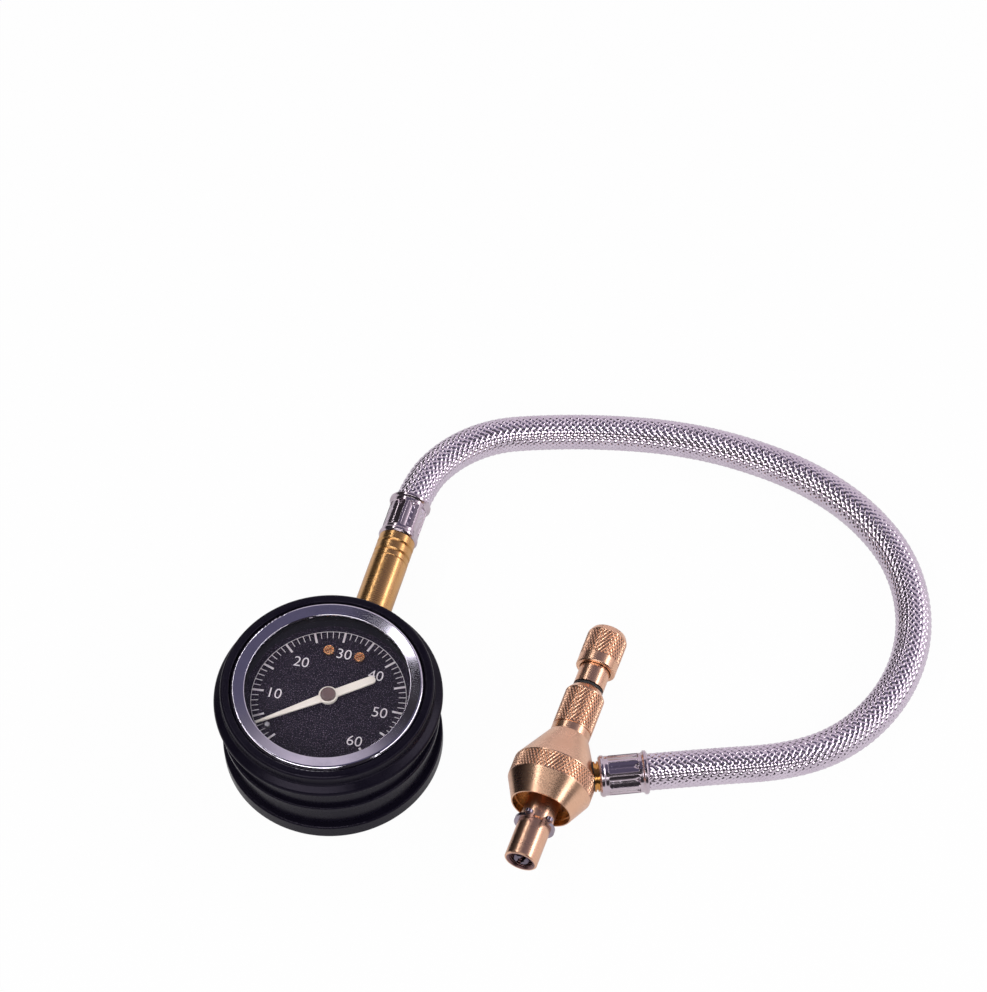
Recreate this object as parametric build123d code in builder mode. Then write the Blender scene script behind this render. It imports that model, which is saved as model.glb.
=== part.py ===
from build123d import *

import os
from math import asin, atan2, cos, degrees, radians, sin, tan

# A tire deflator: a dial gauge in a rubber boot, a braided hose, and a brass deflator head.
# Millimetres. The gauge lies on its back at the origin, +Z is up through the dial, and the
# gauge's stem leaves along +Y. The head lies on its bell beside the gauge.

# Gauge case, bezel and lens
bezel_radius = 27.5
bezel_wall = 0.7
bezel_skirt = 6.3
bezel_face = 4.3
bezel_lip = 0.7
bezel_crown = 0.4
bezel_shoulder = 0.9
bezel_shoulder_height = 1.0
bezel_clearance = 0.8
case_wall = 0.8
case_rim = 25.5
lens_thickness = 1.5
gasket_thickness = 0.5
gasket_width = 2.5
ring_flange = 0.5
ring_wall = 1.4
touch_gap = 0.05

# Gauge boot
boot_wall = 4.8
boot_lip_drop = 0.2
boot_lip_height = 3.9
boot_lip_inset = 2.2
boot_bead_height = 2.9
boot_bead_edge = 1.2
boot_floor = 2.5
boot_foot_inset = 0.9
boot_foot_height = 5.6
boot_groove_inset = 2.6
boot_groove_width = 8.4
boot_rib_inset = 1.4
boot_rib_height = 1.8

# Dial and pointer
dial_thickness = 0.5
dial_depth = 4.9
dial_hole_radius = 1.7
dial_screw_spacing = 9.1
dial_screw_station = 14.85
dial_screw_radius = 1.0
dial_screw_head_radius = 1.6
dial_screw_head = 0.8
dial_screw_length = 4.0
dial_slot_width = 0.4
dial_post_radius = 1.9
pointer_lift = 1.0
pointer_thickness = 0.5
pointer_length = 21.8
pointer_tip_width = 0.5
pointer_hub_width = 2.6
pointer_tail_length = 14.2
pointer_tail_width = 2.5
pointer_hub_radius = 2.7
pointer_hub_height = 0.9
pointer_cap_radius = 2.2
pointer_cap_height = 0.9
pointer_rest_bearing = 218.5
stop_pin_bearing = 224.5
stop_pin_circle = 19.2
stop_pin_radius = 0.8
stop_pin_height = 1.8

# Socket block and stem
stem_height = 11.0
block_width = 13.0
block_inner_end = 8.5
block_height = 10.9
stem_bore_radius = 1.3
nipple_radius = 4.0
nipple_length = 12.0
stem_tube_radius = 5.5
stem_tube_length = 28.6
case_screw_radius = 1.25
case_screw_head_radius = 2.2
case_screw_head = 0.9
case_screw_length = 5.0
case_screw_spacing = 9.0
case_screw_station = 17.0

# Movement
plate_thickness = 1.0
plate_gap = 5.1
tab_station = 14.0
tab_length = 12.0
arbor_radius = 0.6
running_clearance = 0.05
gear_module = 0.3
pinion_teeth = 10
sector_ratio = 8
pinion_length = 1.8
sector_thickness = 1.0
sector_level = 1.3
sector_bearing = -110.0
sector_travel = 32.5
sector_rim = 1.6
sector_spoke = 1.5
sector_hub_radius = 2.2
tail_length = 4.5
tail_bearing = 190.0
tail_width = 2.4
link_width = 2.0
link_thickness = 0.6
link_pin_radius = 0.45
link_open_radius = 0.75
pillar_radius = 1.2
pillar_screw_radius = 0.55
pillar_screw_head_radius = 1.1
pillar_screw_head = 0.6
plate_screw_radius = 0.9
plate_screw_head_radius = 1.5
plate_screw_head = 0.8
plate_screw_length = 1.3

# Pressure tube and hairspring
tube_circle = 17.5
tube_height = 6.0
tube_width = 2.0
tube_wall = 0.35
tube_centre_height = 9.5
tube_root_bearing = 70.5
tube_sweep = 262.5
tip_sweep = 8.0
tip_overhang = 0.25
tip_post_radius = 1.0
hairspring_turns = 3
hairspring_start = 1.15
hairspring_pitch = 0.75
hairspring_strip = 0.12
hairspring_height = 0.5

# Hose and its ends
hose_radius = 5.15
hose_bore_radius = 3.22
hose_end_gap = 1.6
barb_radius = 3.2
fitting_radius = 5.45
fitting_length = 8.1
vee_setback = 2.75
vee_spacing = 3.15
vee_width = 0.9
vee_depth = 0.45
stub_radius = 3.45
stub_length = 9.0
ferrule_length = 13.7
ferrule_radius = 5.6
ferrule_bead_radius = 5.85
ferrule_mouth_radius = 6.2
ferrule_bead = 1.6
ferrule_floor = 1.0
ferrule_flare = 0.3
ferrule_panels = 8
ferrule_panel_width = 3.5
ferrule_panel_length = 8.7
ferrule_panel_depth = 0.4
head_panel_turn = 30.0
barb_length = 11.0

# Deflator head: stations run from the tip's open end towards the knob
head_x = 64.3
head_y = -29.5
head_bearing = 86.8
core_radius = 4.75
core_stem_radius = 3.9
core_step_clearance = 0.8
thread_radius = 3.45
thread_depth = 9.0
seal_radius = 3.85
seal_bore_radius = 2.8
seal_thickness = 1.2
core_bore_radius = 2.75
spigot_radius = 3.15
spigot_length = 5.4
vent_setback = 1.4
vent_radius = 1.0
vent_count = 4
circlip_station = 11.6
circlip_thickness = 1.0
circlip_groove_depth = 0.45
circlip_radius = 5.9
circlip_lug_circle = 7.0
circlip_lug_radius = 1.1
circlip_eye_radius = 0.5
circlip_gap_angle = 34.0
circlip_turn = 13.0
circlip_clearance = 0.2

bell_mouth_setback = 4.9
bell_mouth_radius = 8.85
bell_skirt = 6.7
bell_band = 5.8
bell_cone = 11.5
bell_radius = 12.15
bell_top_radius = 5.95
knurl_depth = 0.25
knurl_border = 0.3
bell_cavity_radius = 8.25
bell_entry_radius = 8.5
bell_entry_depth = 2.1
bell_cavity_depth = 4.5
chamber_radius = 6.0
chamber_roof = 4.5
seal_shoulder = 1.0
seal_groove_width = 1.5
sleeve_fit = 0.06
bell_spigot_radius = 4.95
bell_spigot_length = 5.5

nut_radius = 5.75
nut_ring_length = 2.4
nut_line_width = 0.3
nut_line_depth = 0.25
nut_knurl_length = 12.0
nut_chamfer = 1.65
nut_end_radius = 4.7

bumper_gap = 0.05
bumper_section = 0.65
neck_radius = 4.45
neck_length = 7.8
neck_chamfer = 0.35
rod_radius = 1.9
rod_thread_radius = 1.5
rod_thread_length = 7.0
rod_travel = 28.0
tool_end_station = 0.4
tool_radius = 2.35
tool_length = 11.8
tool_slot_width = 1.3
tool_slot_depth = 3.0
tool_bore_radius = 0.9
tool_socket_radius = 1.3
tool_socket_depth = 5.0
rod_seal_section = 0.5
rod_seal_gap = 1.6
rod_collar = 1.2
knob_overlap = 1.8
knob_length = 13.2
knob_radius = 5.85
knob_band = 3.2
knob_recess_radius = 4.7
knob_recess_depth = 2.6
knob_crown = 2.0

# Hose port on the bell
port_setback = 2.0
port_inset = 1.15
port_lean = 24.5
port_seat = 0.8
port_spot_radius = 4.6
port_hole_radius = 2.65
port_fitting_radius = 4.3
port_ring_end = 1.1
port_groove_depth = 0.5
port_stub_radius = 2.6
port_stub_length = 3.5
washer_thickness = 0.5
washer_radius = 4.1

# Sizes and stack heights that follow from the sizes above
case_radius = bezel_radius - bezel_wall - bezel_clearance
bezel_opening = bezel_radius - bezel_face
boot_radius = bezel_radius + boot_wall
boot_foot_radius = boot_radius - boot_foot_inset
boot_groove_radius = boot_radius - boot_groove_inset
boot_rib_radius = boot_radius - boot_rib_inset
boot_lip_radius = boot_radius - boot_lip_inset
case_bottom = boot_floor
case_top = case_bottom + case_rim
ring_top = case_top + ring_flange
gasket_top = ring_top + gasket_thickness
lens_top = gasket_top + lens_thickness
bezel_top = lens_top + bezel_lip + bezel_crown
bezel_bottom = bezel_top - bezel_skirt
boot_height = bezel_top - boot_lip_drop
lip_start = boot_height - boot_lip_height
bead_start = lip_start - boot_bead_height
dial_top = ring_top - dial_depth
dial_bottom = dial_top - dial_thickness
case_bore = case_radius - case_wall
case_floor_top = case_bottom + case_wall
block_top = case_floor_top + block_height
back_plate_top = block_top + plate_thickness
front_plate_bottom = back_plate_top + plate_gap
front_plate_top = front_plate_bottom + plate_thickness
pointer_bottom = dial_top + pointer_lift
pointer_top = pointer_bottom + pointer_thickness
hub_top = pointer_bottom + pointer_hub_height
ring_radius = case_bore - 0.3
ring_bore = ring_radius - ring_wall
lens_radius = bezel_radius - bezel_wall - 0.2
gasket_inner_radius = lens_radius - gasket_width

stem_tube_start = case_radius + 1
stem_tube_end = stem_tube_start + stem_tube_length
fitting_end = stem_tube_end + fitting_length
vee_stations = (fitting_end - vee_setback - vee_spacing, fitting_end - vee_setback)

circlip_end = circlip_station + circlip_thickness
bell_mouth_station = circlip_end + bell_mouth_setback
bell_band_start = bell_mouth_station + bell_skirt
bell_band_end = bell_band_start + bell_band
bell_top_station = bell_band_end + bell_cone
bell_floor_station = bell_mouth_station + bell_cavity_depth
bell_seal_station = bell_floor_station + seal_shoulder
chamber_start = bell_seal_station + seal_groove_width + seal_shoulder
chamber_end = bell_top_station - chamber_roof
sleeve_travel = bell_floor_station - circlip_end - circlip_clearance
vent_station = bell_floor_station - vent_setback
core_step_station = chamber_end - sleeve_travel - core_step_clearance
nut_ring_end = bell_top_station + nut_ring_length
nut_knurl_end = nut_ring_end + nut_knurl_length
nut_end_station = nut_knurl_end + nut_chamfer
core_length = nut_end_station + bumper_gap
neck_start = core_length + 2 * (bumper_section + bumper_gap)
neck_end_station = neck_start + neck_length
knob_start_station = neck_end_station - knob_overlap
knob_end_station = knob_start_station + knob_length
port_station = bell_band_end + port_setback
port_radius_station = bell_radius - port_inset
head_origin = Vector(head_x, head_y, bell_radius)
print("sleeve travel", round(sleeve_travel, 2))

pinion_radius = gear_module * pinion_teeth / 2
sector_radius = pinion_radius * sector_ratio
sector_pivot = Vector(
    (pinion_radius + sector_radius) * cos(radians(sector_bearing)),
    (pinion_radius + sector_radius) * sin(radians(sector_bearing)),
)
sector_bottom = back_plate_top + sector_level
sector_top = sector_bottom + sector_thickness
tail_pin = sector_pivot + Vector(cos(radians(tail_bearing)), sin(radians(tail_bearing))) * tail_length
tube_free_bearing = tube_root_bearing - tube_sweep
tip_bearing = tube_free_bearing - tip_sweep / 2
tip_pin = Vector(cos(radians(tip_bearing)), sin(radians(tip_bearing))) * tube_circle
link_bottom = sector_top + 0.1
link_top = link_bottom + link_thickness
pillar_places = ((-7.5, 5.5), (7.5, 5.5), (9.0, -8.0))

gauge_section = Plane.XZ
stem_section = Plane.XY.offset(stem_height)
stem_axis = Axis((0, 0, stem_height), (0, 1, 0))


def stem_plane(station):
    """A plane across the stem at a distance from the gauge's centre, facing outwards."""
    return Plane(origin=(0, station, stem_height), x_dir=(1, 0, 0), z_dir=(0, 1, 0))


# The head's own directions: along its axis, and level towards the hose side
head_along = Vector(cos(radians(head_bearing)), sin(radians(head_bearing)), 0)
head_side = Vector(sin(radians(head_bearing)), -cos(radians(head_bearing)), 0)
head_section = Plane(origin=head_origin, x_dir=head_side, z_dir=(0, 0, 1))
head_axis = Axis(head_origin, head_along)


def head_plane(station):
    """A plane across the head: its x is up and its y is towards the hose side."""
    return Plane(origin=head_origin + head_along * station, x_dir=(0, 0, 1), z_dir=head_along)


port_along = head_side * cos(radians(port_lean)) + head_along * sin(radians(port_lean))
port_across = head_along * cos(radians(port_lean)) - head_side * sin(radians(port_lean))
port_origin = head_origin + head_along * port_station + head_side * port_radius_station
port_section = Plane(origin=port_origin, x_dir=port_across, z_dir=port_across.cross(port_along))
port_axis = Axis(port_origin, port_along)


def port_plane(distance):
    """A plane across the hose port, facing outwards."""
    return Plane(origin=port_origin + port_along * distance, x_dir=port_across, z_dir=port_along)


def outline(*points):
    """A closed straight-sided outline, filled, in the sketch that is open."""
    Polygon(*points, align=None)


def round_corners(sketch, corners):
    """Round the corners of the open sketch that lie nearest to the given points."""
    for corner, radius in corners:
        fillet(sketch.vertices().sort_by_distance(Vector(*corner))[0], radius)


def save(part, name):
    part.part.label = name
    export_step(part.part, f"parts/{name}.step")


os.makedirs("parts", exist_ok=True)

# The rubber boot: a wide foot, a thin rib and a fat upper bead, with a narrower lip round the bezel
rib_start = boot_foot_height + boot_groove_width
rib_end = rib_start + boot_rib_height
boot_mouth = bezel_radius + touch_gap * 2
boot_bore = case_radius + touch_gap
with BuildPart() as gauge_boot:
    with BuildSketch(gauge_section) as boot_section:
        outline(
            (0, 0),
            (boot_foot_radius, 0),
            (boot_foot_radius, boot_foot_height),
            (boot_groove_radius, boot_foot_height),
            (boot_groove_radius, rib_start),
            (boot_rib_radius, rib_start),
            (boot_rib_radius, rib_end),
            (boot_groove_radius, rib_end),
            (boot_groove_radius, bead_start),
            (boot_radius, bead_start),
            (boot_radius, bead_start + boot_bead_edge),
            (boot_lip_radius, lip_start),
            (boot_lip_radius, boot_height),
            (boot_mouth, boot_height),
            (boot_mouth, bezel_bottom),
            (boot_bore, bezel_bottom),
            (boot_bore, boot_floor),
            (0, boot_floor),
        )
        round_corners(
            boot_section,
            (
                ((boot_foot_radius, 0), 1.3),
                ((boot_foot_radius, boot_foot_height), 0.6),
                ((boot_rib_radius, rib_start), 0.3),
                ((boot_rib_radius, rib_end), 0.5),
                ((boot_radius, bead_start), 0.5),
                ((boot_radius, bead_start + boot_bead_edge), 1.2),
                ((boot_lip_radius, lip_start), 0.7),
                ((boot_lip_radius, boot_height), 0.9),
                ((boot_mouth, boot_height), 0.5),
            ),
        )
    revolve(axis=Axis.Z)
    with BuildSketch(stem_plane(case_radius - 4)):
        Circle(stem_tube_radius + 0.1)
    extrude(amount=boot_radius, mode=Mode.SUBTRACT)
    with BuildSketch(Plane.XY.offset(boot_floor - case_screw_head - 0.1)):
        with Locations((-case_screw_spacing / 2, case_screw_station), (case_screw_spacing / 2, case_screw_station)):
            Circle(case_screw_head_radius + 0.3)
    extrude(amount=case_screw_head + 1, mode=Mode.SUBTRACT)
save(gauge_boot, "gauge_boot")

# The drawn steel case, with the stem's hole in its wall and the screw holes in its floor
with BuildPart() as gauge_case:
    with BuildSketch(gauge_section) as case_section:
        outline(
            (0, case_bottom),
            (case_radius, case_bottom),
            (case_radius, case_top),
            (case_bore, case_top),
            (case_bore, case_floor_top),
            (0, case_floor_top),
        )
        round_corners(case_section, (((case_radius, case_bottom), 1.2), ((case_bore, case_floor_top), 0.5)))
    revolve(axis=Axis.Z)
    with BuildSketch(stem_plane(case_bore - 4)):
        Circle(nipple_radius + 0.3)
    extrude(amount=8, mode=Mode.SUBTRACT)
    with BuildSketch(Plane.XY.offset(case_bottom)):
        with Locations((-case_screw_spacing / 2, case_screw_station), (case_screw_spacing / 2, case_screw_station)):
            Circle(case_screw_radius + 0.1)
    extrude(amount=case_wall, mode=Mode.SUBTRACT)
save(gauge_case, "gauge_case")

with BuildPart() as case_screws:
    with BuildSketch(Plane.XY.offset(case_bottom)):
        with Locations((-case_screw_spacing / 2, case_screw_station), (case_screw_spacing / 2, case_screw_station)):
            Circle(case_screw_head_radius)
    extrude(amount=-case_screw_head)
    with BuildSketch(Plane.XY.offset(case_bottom)):
        with Locations((-case_screw_spacing / 2, case_screw_station), (case_screw_spacing / 2, case_screw_station)):
            Circle(case_screw_radius)
    extrude(amount=case_wall + case_screw_length)
save(case_screws, "case_screws")

# The chromed bezel: a sloped face, a rolled shoulder and a skirt that snaps under the case rim
with BuildPart() as bezel:
    with BuildSketch(gauge_section) as bezel_section:
        outline(
            (bezel_opening, lens_top),
            (bezel_opening, lens_top + bezel_lip),
            (bezel_radius - bezel_shoulder, bezel_top),
            (bezel_radius, bezel_top - bezel_shoulder_height),
            (bezel_radius, bezel_bottom),
            (case_radius + 2 * touch_gap, bezel_bottom),
            (case_radius + 2 * touch_gap, bezel_bottom + bezel_wall),
            (bezel_radius - bezel_wall, bezel_bottom + 2 * bezel_wall),
            (bezel_radius - bezel_wall, lens_top),
        )
        round_corners(
            bezel_section,
            (
                ((bezel_opening, lens_top + bezel_lip), 0.3),
                ((bezel_radius - bezel_shoulder, bezel_top), 0.7),
                ((bezel_radius, bezel_top - bezel_shoulder_height), 0.7),
            ),
        )
    revolve(axis=Axis.Z)
save(bezel, "bezel")

with BuildPart() as lens:
    with BuildSketch(Plane.XY.offset(gasket_top)):
        Circle(lens_radius)
    extrude(amount=lens_thickness)
    chamfer(lens.edges().group_by(Axis.Z)[-1], 0.25)
save(lens, "lens")

with BuildPart() as lens_gasket:
    with BuildSketch(Plane.XY.offset(ring_top)):
        Circle(lens_radius)
        Circle(gasket_inner_radius, mode=Mode.SUBTRACT)
    extrude(amount=gasket_thickness)
save(lens_gasket, "lens_gasket")

# The black ring between dial and lens: its flange hangs on the case rim
with BuildPart() as dial_ring:
    with BuildSketch(gauge_section):
        outline(
            (ring_bore, ring_top),
            (case_radius, ring_top),
            (case_radius, case_top),
            (ring_radius, case_top),
            (ring_radius, dial_top),
            (ring_bore + 0.3, dial_top),
        )
    revolve(axis=Axis.Z)
save(dial_ring, "dial_ring")

dial_screw_places = [
    (-dial_screw_spacing / 2, dial_screw_station),
    (dial_screw_spacing / 2, dial_screw_station),
]
stop_pin_place = (
    stop_pin_circle * cos(radians(stop_pin_bearing)),
    stop_pin_circle * sin(radians(stop_pin_bearing)),
)
with BuildPart() as dial_plate:
    with BuildSketch(Plane.XY.offset(dial_bottom)):
        Circle(ring_radius - 0.05)
        Circle(dial_hole_radius, mode=Mode.SUBTRACT)
        with Locations(*dial_screw_places):
            Circle(dial_screw_radius + 0.08, mode=Mode.SUBTRACT)
        with Locations(stop_pin_place):
            Circle(stop_pin_radius * 0.6 + 0.02, mode=Mode.SUBTRACT)
    extrude(amount=dial_thickness)
save(dial_plate, "dial_plate")

with BuildPart() as dial_screws:
    with BuildSketch(Plane.XY.offset(dial_top)):
        with Locations(*dial_screw_places):
            Circle(dial_screw_head_radius)
    extrude(amount=dial_screw_head)
    fillet(dial_screws.edges().group_by(Axis.Z)[-1], 0.35)
    with BuildSketch(Plane.XY.offset(dial_top)):
        with Locations(*dial_screw_places):
            Circle(dial_screw_radius)
    extrude(amount=-dial_screw_length)
    with BuildSketch(Plane.XY.offset(dial_top + dial_screw_head)):
        with Locations(*dial_screw_places):
            Rectangle(2 * dial_screw_head_radius + 1, dial_slot_width, rotation=35)
    extrude(amount=-dial_screw_head / 2, mode=Mode.SUBTRACT)
save(dial_screws, "dial_screws")

with BuildPart() as dial_posts:
    with BuildSketch(Plane.XY.offset(back_plate_top)):
        with Locations(*dial_screw_places):
            Circle(dial_post_radius)
    extrude(amount=dial_bottom - back_plate_top)
    with BuildSketch(Plane.XY.offset(dial_bottom)):
        with Locations(*dial_screw_places):
            Circle(dial_screw_radius + 0.03)
    extrude(amount=-dial_screw_length, mode=Mode.SUBTRACT)
save(dial_posts, "dial_posts")

with BuildPart() as stop_pin:
    with BuildSketch(Plane.XY.offset(dial_bottom)):
        with Locations(stop_pin_place):
            Circle(stop_pin_radius * 0.6)
    extrude(amount=dial_thickness)
    with BuildSketch(Plane.XY.offset(dial_top)):
        with Locations(stop_pin_place):
            Circle(stop_pin_radius)
    extrude(amount=stop_pin_height)
    fillet(stop_pin.edges().group_by(Axis.Z)[-1], 0.4)
save(stop_pin, "stop_pin")

# The socket block: it takes the stem's nipple and the open end of the pressure tube
block_outer_end = (case_bore**2 - (block_width / 2) ** 2) ** 0.5 - 0.1
with BuildPart() as socket_block:
    with BuildSketch(Plane.XY.offset(case_floor_top)):
        with Locations((0, (block_inner_end + block_outer_end) / 2)):
            RectangleRounded(block_width, block_outer_end - block_inner_end, 0.6)
    extrude(amount=block_height)
    with BuildSketch(stem_plane(block_outer_end)):
        Circle(nipple_radius)
    extrude(amount=case_radius - block_outer_end + nipple_length)
    with BuildSketch(stem_plane(block_inner_end + 3)):
        Circle(stem_bore_radius)
    extrude(amount=case_radius + nipple_length, mode=Mode.SUBTRACT)
    with BuildSketch(Plane.XY.offset(case_floor_top)):
        with Locations((-case_screw_spacing / 2, case_screw_station), (case_screw_spacing / 2, case_screw_station)):
            Circle(case_screw_radius + 0.03)
    extrude(amount=case_screw_length, mode=Mode.SUBTRACT)
    with BuildSketch(Plane.XY.offset(block_top)):
        with Locations((0, block_inner_end + 3), (0, block_outer_end - 4)):
            Circle(plate_screw_radius + 0.03)
    extrude(amount=-plate_screw_length, mode=Mode.SUBTRACT)
    with BuildSketch(Plane.XZ.rotated((0, 0, tube_root_bearing - 8))):
        with Locations((tube_circle, tube_centre_height)):
            SlotOverall(tube_height + 0.1, tube_width + 0.1, rotation=90)
    revolve(axis=Axis.Z, revolution_arc=8.1, mode=Mode.SUBTRACT)
save(socket_block, "socket_block")

# Movement plates, pillars and screws
with BuildPart() as back_plate:
    with BuildSketch(Plane.XY.offset(block_top)) as back_outline:
        outline((-10, 8.4), (-10, -6), (-7.6, -15.6), (4, -15.6), (10.8, -11), (10, 8.4))
        with Locations((0, tab_station)):
            Rectangle(block_width, tab_length)
        fillet(back_outline.vertices().filter_by_position(Axis.Y, -16, 8.5), 1.2)
        with Locations((0, 0), (sector_pivot.X, sector_pivot.Y)):
            Circle(arbor_radius + running_clearance, mode=Mode.SUBTRACT)
        with Locations((0, block_inner_end + 3), (0, block_outer_end - 4)):
            Circle(plate_screw_radius + 0.05, mode=Mode.SUBTRACT)
    extrude(amount=plate_thickness)
save(back_plate, "back_plate")

with BuildPart() as front_plate:
    with BuildSketch(Plane.XY.offset(front_plate_bottom)) as front_outline:
        outline((-10, 8.4), (-10, -6), (-7.6, -15.6), (4, -15.6), (10.8, -11), (10, 8.4))
        fillet(front_outline.vertices(), 1.2)
        with Locations((0, 0), (sector_pivot.X, sector_pivot.Y)):
            Circle(arbor_radius + running_clearance, mode=Mode.SUBTRACT)
        with Locations(*pillar_places):
            Circle(pillar_screw_radius + 0.05, mode=Mode.SUBTRACT)
    extrude(amount=plate_thickness)
save(front_plate, "front_plate")

with BuildPart() as plate_pillars:
    with BuildSketch(Plane.XY.offset(back_plate_top)):
        with Locations(*pillar_places):
            Circle(pillar_radius)
    extrude(amount=plate_gap)
    with BuildSketch(Plane.XY.offset(front_plate_bottom)):
        with Locations(*pillar_places):
            Circle(pillar_screw_radius + 0.02)
    extrude(amount=-2, mode=Mode.SUBTRACT)
save(plate_pillars, "plate_pillars")

with BuildPart() as pillar_screws:
    with BuildSketch(Plane.XY.offset(front_plate_top)):
        with Locations(*pillar_places):
            Circle(pillar_screw_head_radius)
    extrude(amount=pillar_screw_head)
    with BuildSketch(Plane.XY.offset(front_plate_top)):
        with Locations(*pillar_places):
            Circle(pillar_screw_radius)
    extrude(amount=-plate_thickness - 2)
save(pillar_screws, "pillar_screws")

with BuildPart() as plate_screws:
    with BuildSketch(Plane.XY.offset(back_plate_top)):
        with Locations((0, block_inner_end + 3), (0, block_outer_end - 4)):
            Circle(plate_screw_head_radius)
    extrude(amount=plate_screw_head)
    with BuildSketch(Plane.XY.offset(back_plate_top)):
        with Locations((0, block_inner_end + 3), (0, block_outer_end - 4)):
            Circle(plate_screw_radius)
    extrude(amount=-plate_thickness - plate_screw_length)
save(plate_screws, "plate_screws")

# Gear teeth with straight flanks: half widths at root, pitch and tip, with some backlash
tooth_addendum = gear_module
tooth_dedendum = 1.2 * gear_module
tooth_half = 0.66 * gear_module
flank_slope = tan(radians(20))


def tooth(pitch_radius, bearing, tip_relief=0.0):
    """One tooth on the open sketch, centred on a bearing from the sketch's origin."""
    root = pitch_radius - tooth_dedendum
    tip = pitch_radius + tooth_addendum
    half_root = tooth_half + tooth_dedendum * flank_slope * 0.8
    half_tip = tooth_half - tooth_addendum * flank_slope - tip_relief
    Polygon(
        (root - 0.2, -half_root),
        (root, -half_root),
        (pitch_radius, -tooth_half),
        (tip, -half_tip),
        (tip, half_tip),
        (pitch_radius, tooth_half),
        (root, half_root),
        (root - 0.2, half_root),
        rotation=bearing,
        align=None,
    )


# At rest a tooth of the sector points at the pinion, and a gap of the pinion faces it
mesh_bearing = sector_bearing + 180
with BuildPart() as pinion_arbor:
    with BuildSketch(Plane.XY.offset(block_top + 0.1)):
        Circle(arbor_radius)
    extrude(amount=hub_top - block_top - 0.1)
    with BuildSketch(Plane.XY.offset(back_plate_top + 0.1)):
        Circle(arbor_radius + 0.5)
    extrude(amount=0.5)
    with BuildSketch(Plane.XY.offset(sector_bottom - (pinion_length - sector_thickness) / 2)):
        Circle(pinion_radius - tooth_dedendum)
        for index in range(pinion_teeth):
            tooth(pinion_radius, sector_bearing + (index + 0.5) * 360 / pinion_teeth, tip_relief=0.02)
    extrude(amount=pinion_length)
    with BuildSketch(Plane.XY.offset(front_plate_bottom - 1.4)):
        Circle(hairspring_start - 0.05)
    extrude(amount=0.8)
save(pinion_arbor, "pinion_arbor")

# The sector gear turns anticlockwise to drive the pinion clockwise
sector_tooth_angle = 360 / (pinion_teeth * sector_ratio)
teeth_after = 2
teeth_before = round(sector_travel / sector_tooth_angle) + 2
rim_start = mesh_bearing - (teeth_before + 0.6) * sector_tooth_angle
rim_end = mesh_bearing + (teeth_after + 0.6) * sector_tooth_angle
sector_origin = Plane(origin=(sector_pivot.X, sector_pivot.Y, sector_bottom))
with BuildPart() as sector_gear:
    with BuildSketch(sector_origin):
        with BuildLine():
            rim_outer = CenterArc((0, 0), sector_radius - tooth_dedendum, rim_start, rim_end - rim_start)
            rim_inner = CenterArc((0, 0), sector_radius - tooth_dedendum - sector_rim, rim_start, rim_end - rim_start)
            Line(rim_outer @ 0, rim_inner @ 0)
            Line(rim_outer @ 1, rim_inner @ 1)
        make_face()
        for index in range(-teeth_before, teeth_after + 1):
            tooth(sector_radius, mesh_bearing + index * sector_tooth_angle)
        Circle(sector_hub_radius)
        for bearing in (rim_start + 4, rim_end - 4):
            with Locations(Location((0, 0, 0), (0, 0, bearing))):
                with Locations(((sector_radius - tooth_dedendum - sector_rim / 2) / 2, 0)):
                    Rectangle(sector_radius - tooth_dedendum - sector_rim / 2, sector_spoke)
        with Locations(Location((0, 0, 0), (0, 0, tail_bearing))):
            with Locations((tail_length / 2, 0)):
                SlotCenterToCenter(tail_length, tail_width)
            with Locations((tail_length, 0)):
                Circle(link_pin_radius + running_clearance, mode=Mode.SUBTRACT)
        Circle(arbor_radius + 0.01, mode=Mode.SUBTRACT)
    extrude(amount=sector_thickness)
save(sector_gear, "sector_gear")

with BuildPart() as sector_staff:
    with BuildSketch(Plane(origin=(sector_pivot.X, sector_pivot.Y, block_top + 0.1))):
        Circle(arbor_radius)
    extrude(amount=front_plate_top - block_top - 0.2)
    with BuildSketch(Plane(origin=(sector_pivot.X, sector_pivot.Y, back_plate_top + 0.1))):
        Circle(arbor_radius + 0.7)
    extrude(amount=sector_level - 0.1)
    with BuildSketch(Plane(origin=(sector_pivot.X, sector_pivot.Y, sector_top))):
        Circle(arbor_radius + 0.7)
    extrude(amount=front_plate_bottom - sector_top - 0.1)
save(sector_staff, "sector_staff")

# The link from the sector's tail to the pressure tube's tip, with its pin in the tail
link_reach = tip_pin - tail_pin
link_length = link_reach.length
link_bearing = degrees(atan2(link_reach.Y, link_reach.X))
link_plane = Plane(origin=(tail_pin.X, tail_pin.Y, link_bottom)).rotated((0, 0, link_bearing))
with BuildPart() as tip_link:
    with BuildSketch(link_plane):
        with Locations((link_length / 2, 0)):
            Rectangle(link_length, link_width * 0.6)
        with Locations((0, 0), (link_length, 0)):
            Circle(link_width / 2 + 0.4)
        with Locations((link_length, 0)):
            Circle(link_open_radius, mode=Mode.SUBTRACT)
    extrude(amount=link_thickness)
    with BuildSketch(link_plane):
        Circle(link_pin_radius)
    extrude(amount=sector_bottom - link_bottom - 0.3)
save(tip_link, "tip_link")

# The flattened pressure tube bends three quarters round the case, clockwise from the block
tube_free_plane = Plane.XZ.rotated((0, 0, tube_free_bearing))
with BuildPart() as pressure_tube:
    with BuildSketch(tube_free_plane):
        with Locations((tube_circle, tube_centre_height)):
            SlotOverall(tube_height, tube_width, rotation=90)
            SlotOverall(tube_height - 2 * tube_wall, tube_width - 2 * tube_wall, rotation=90, mode=Mode.SUBTRACT)
    revolve(axis=Axis.Z, revolution_arc=tube_sweep)
save(pressure_tube, "pressure_tube")

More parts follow.
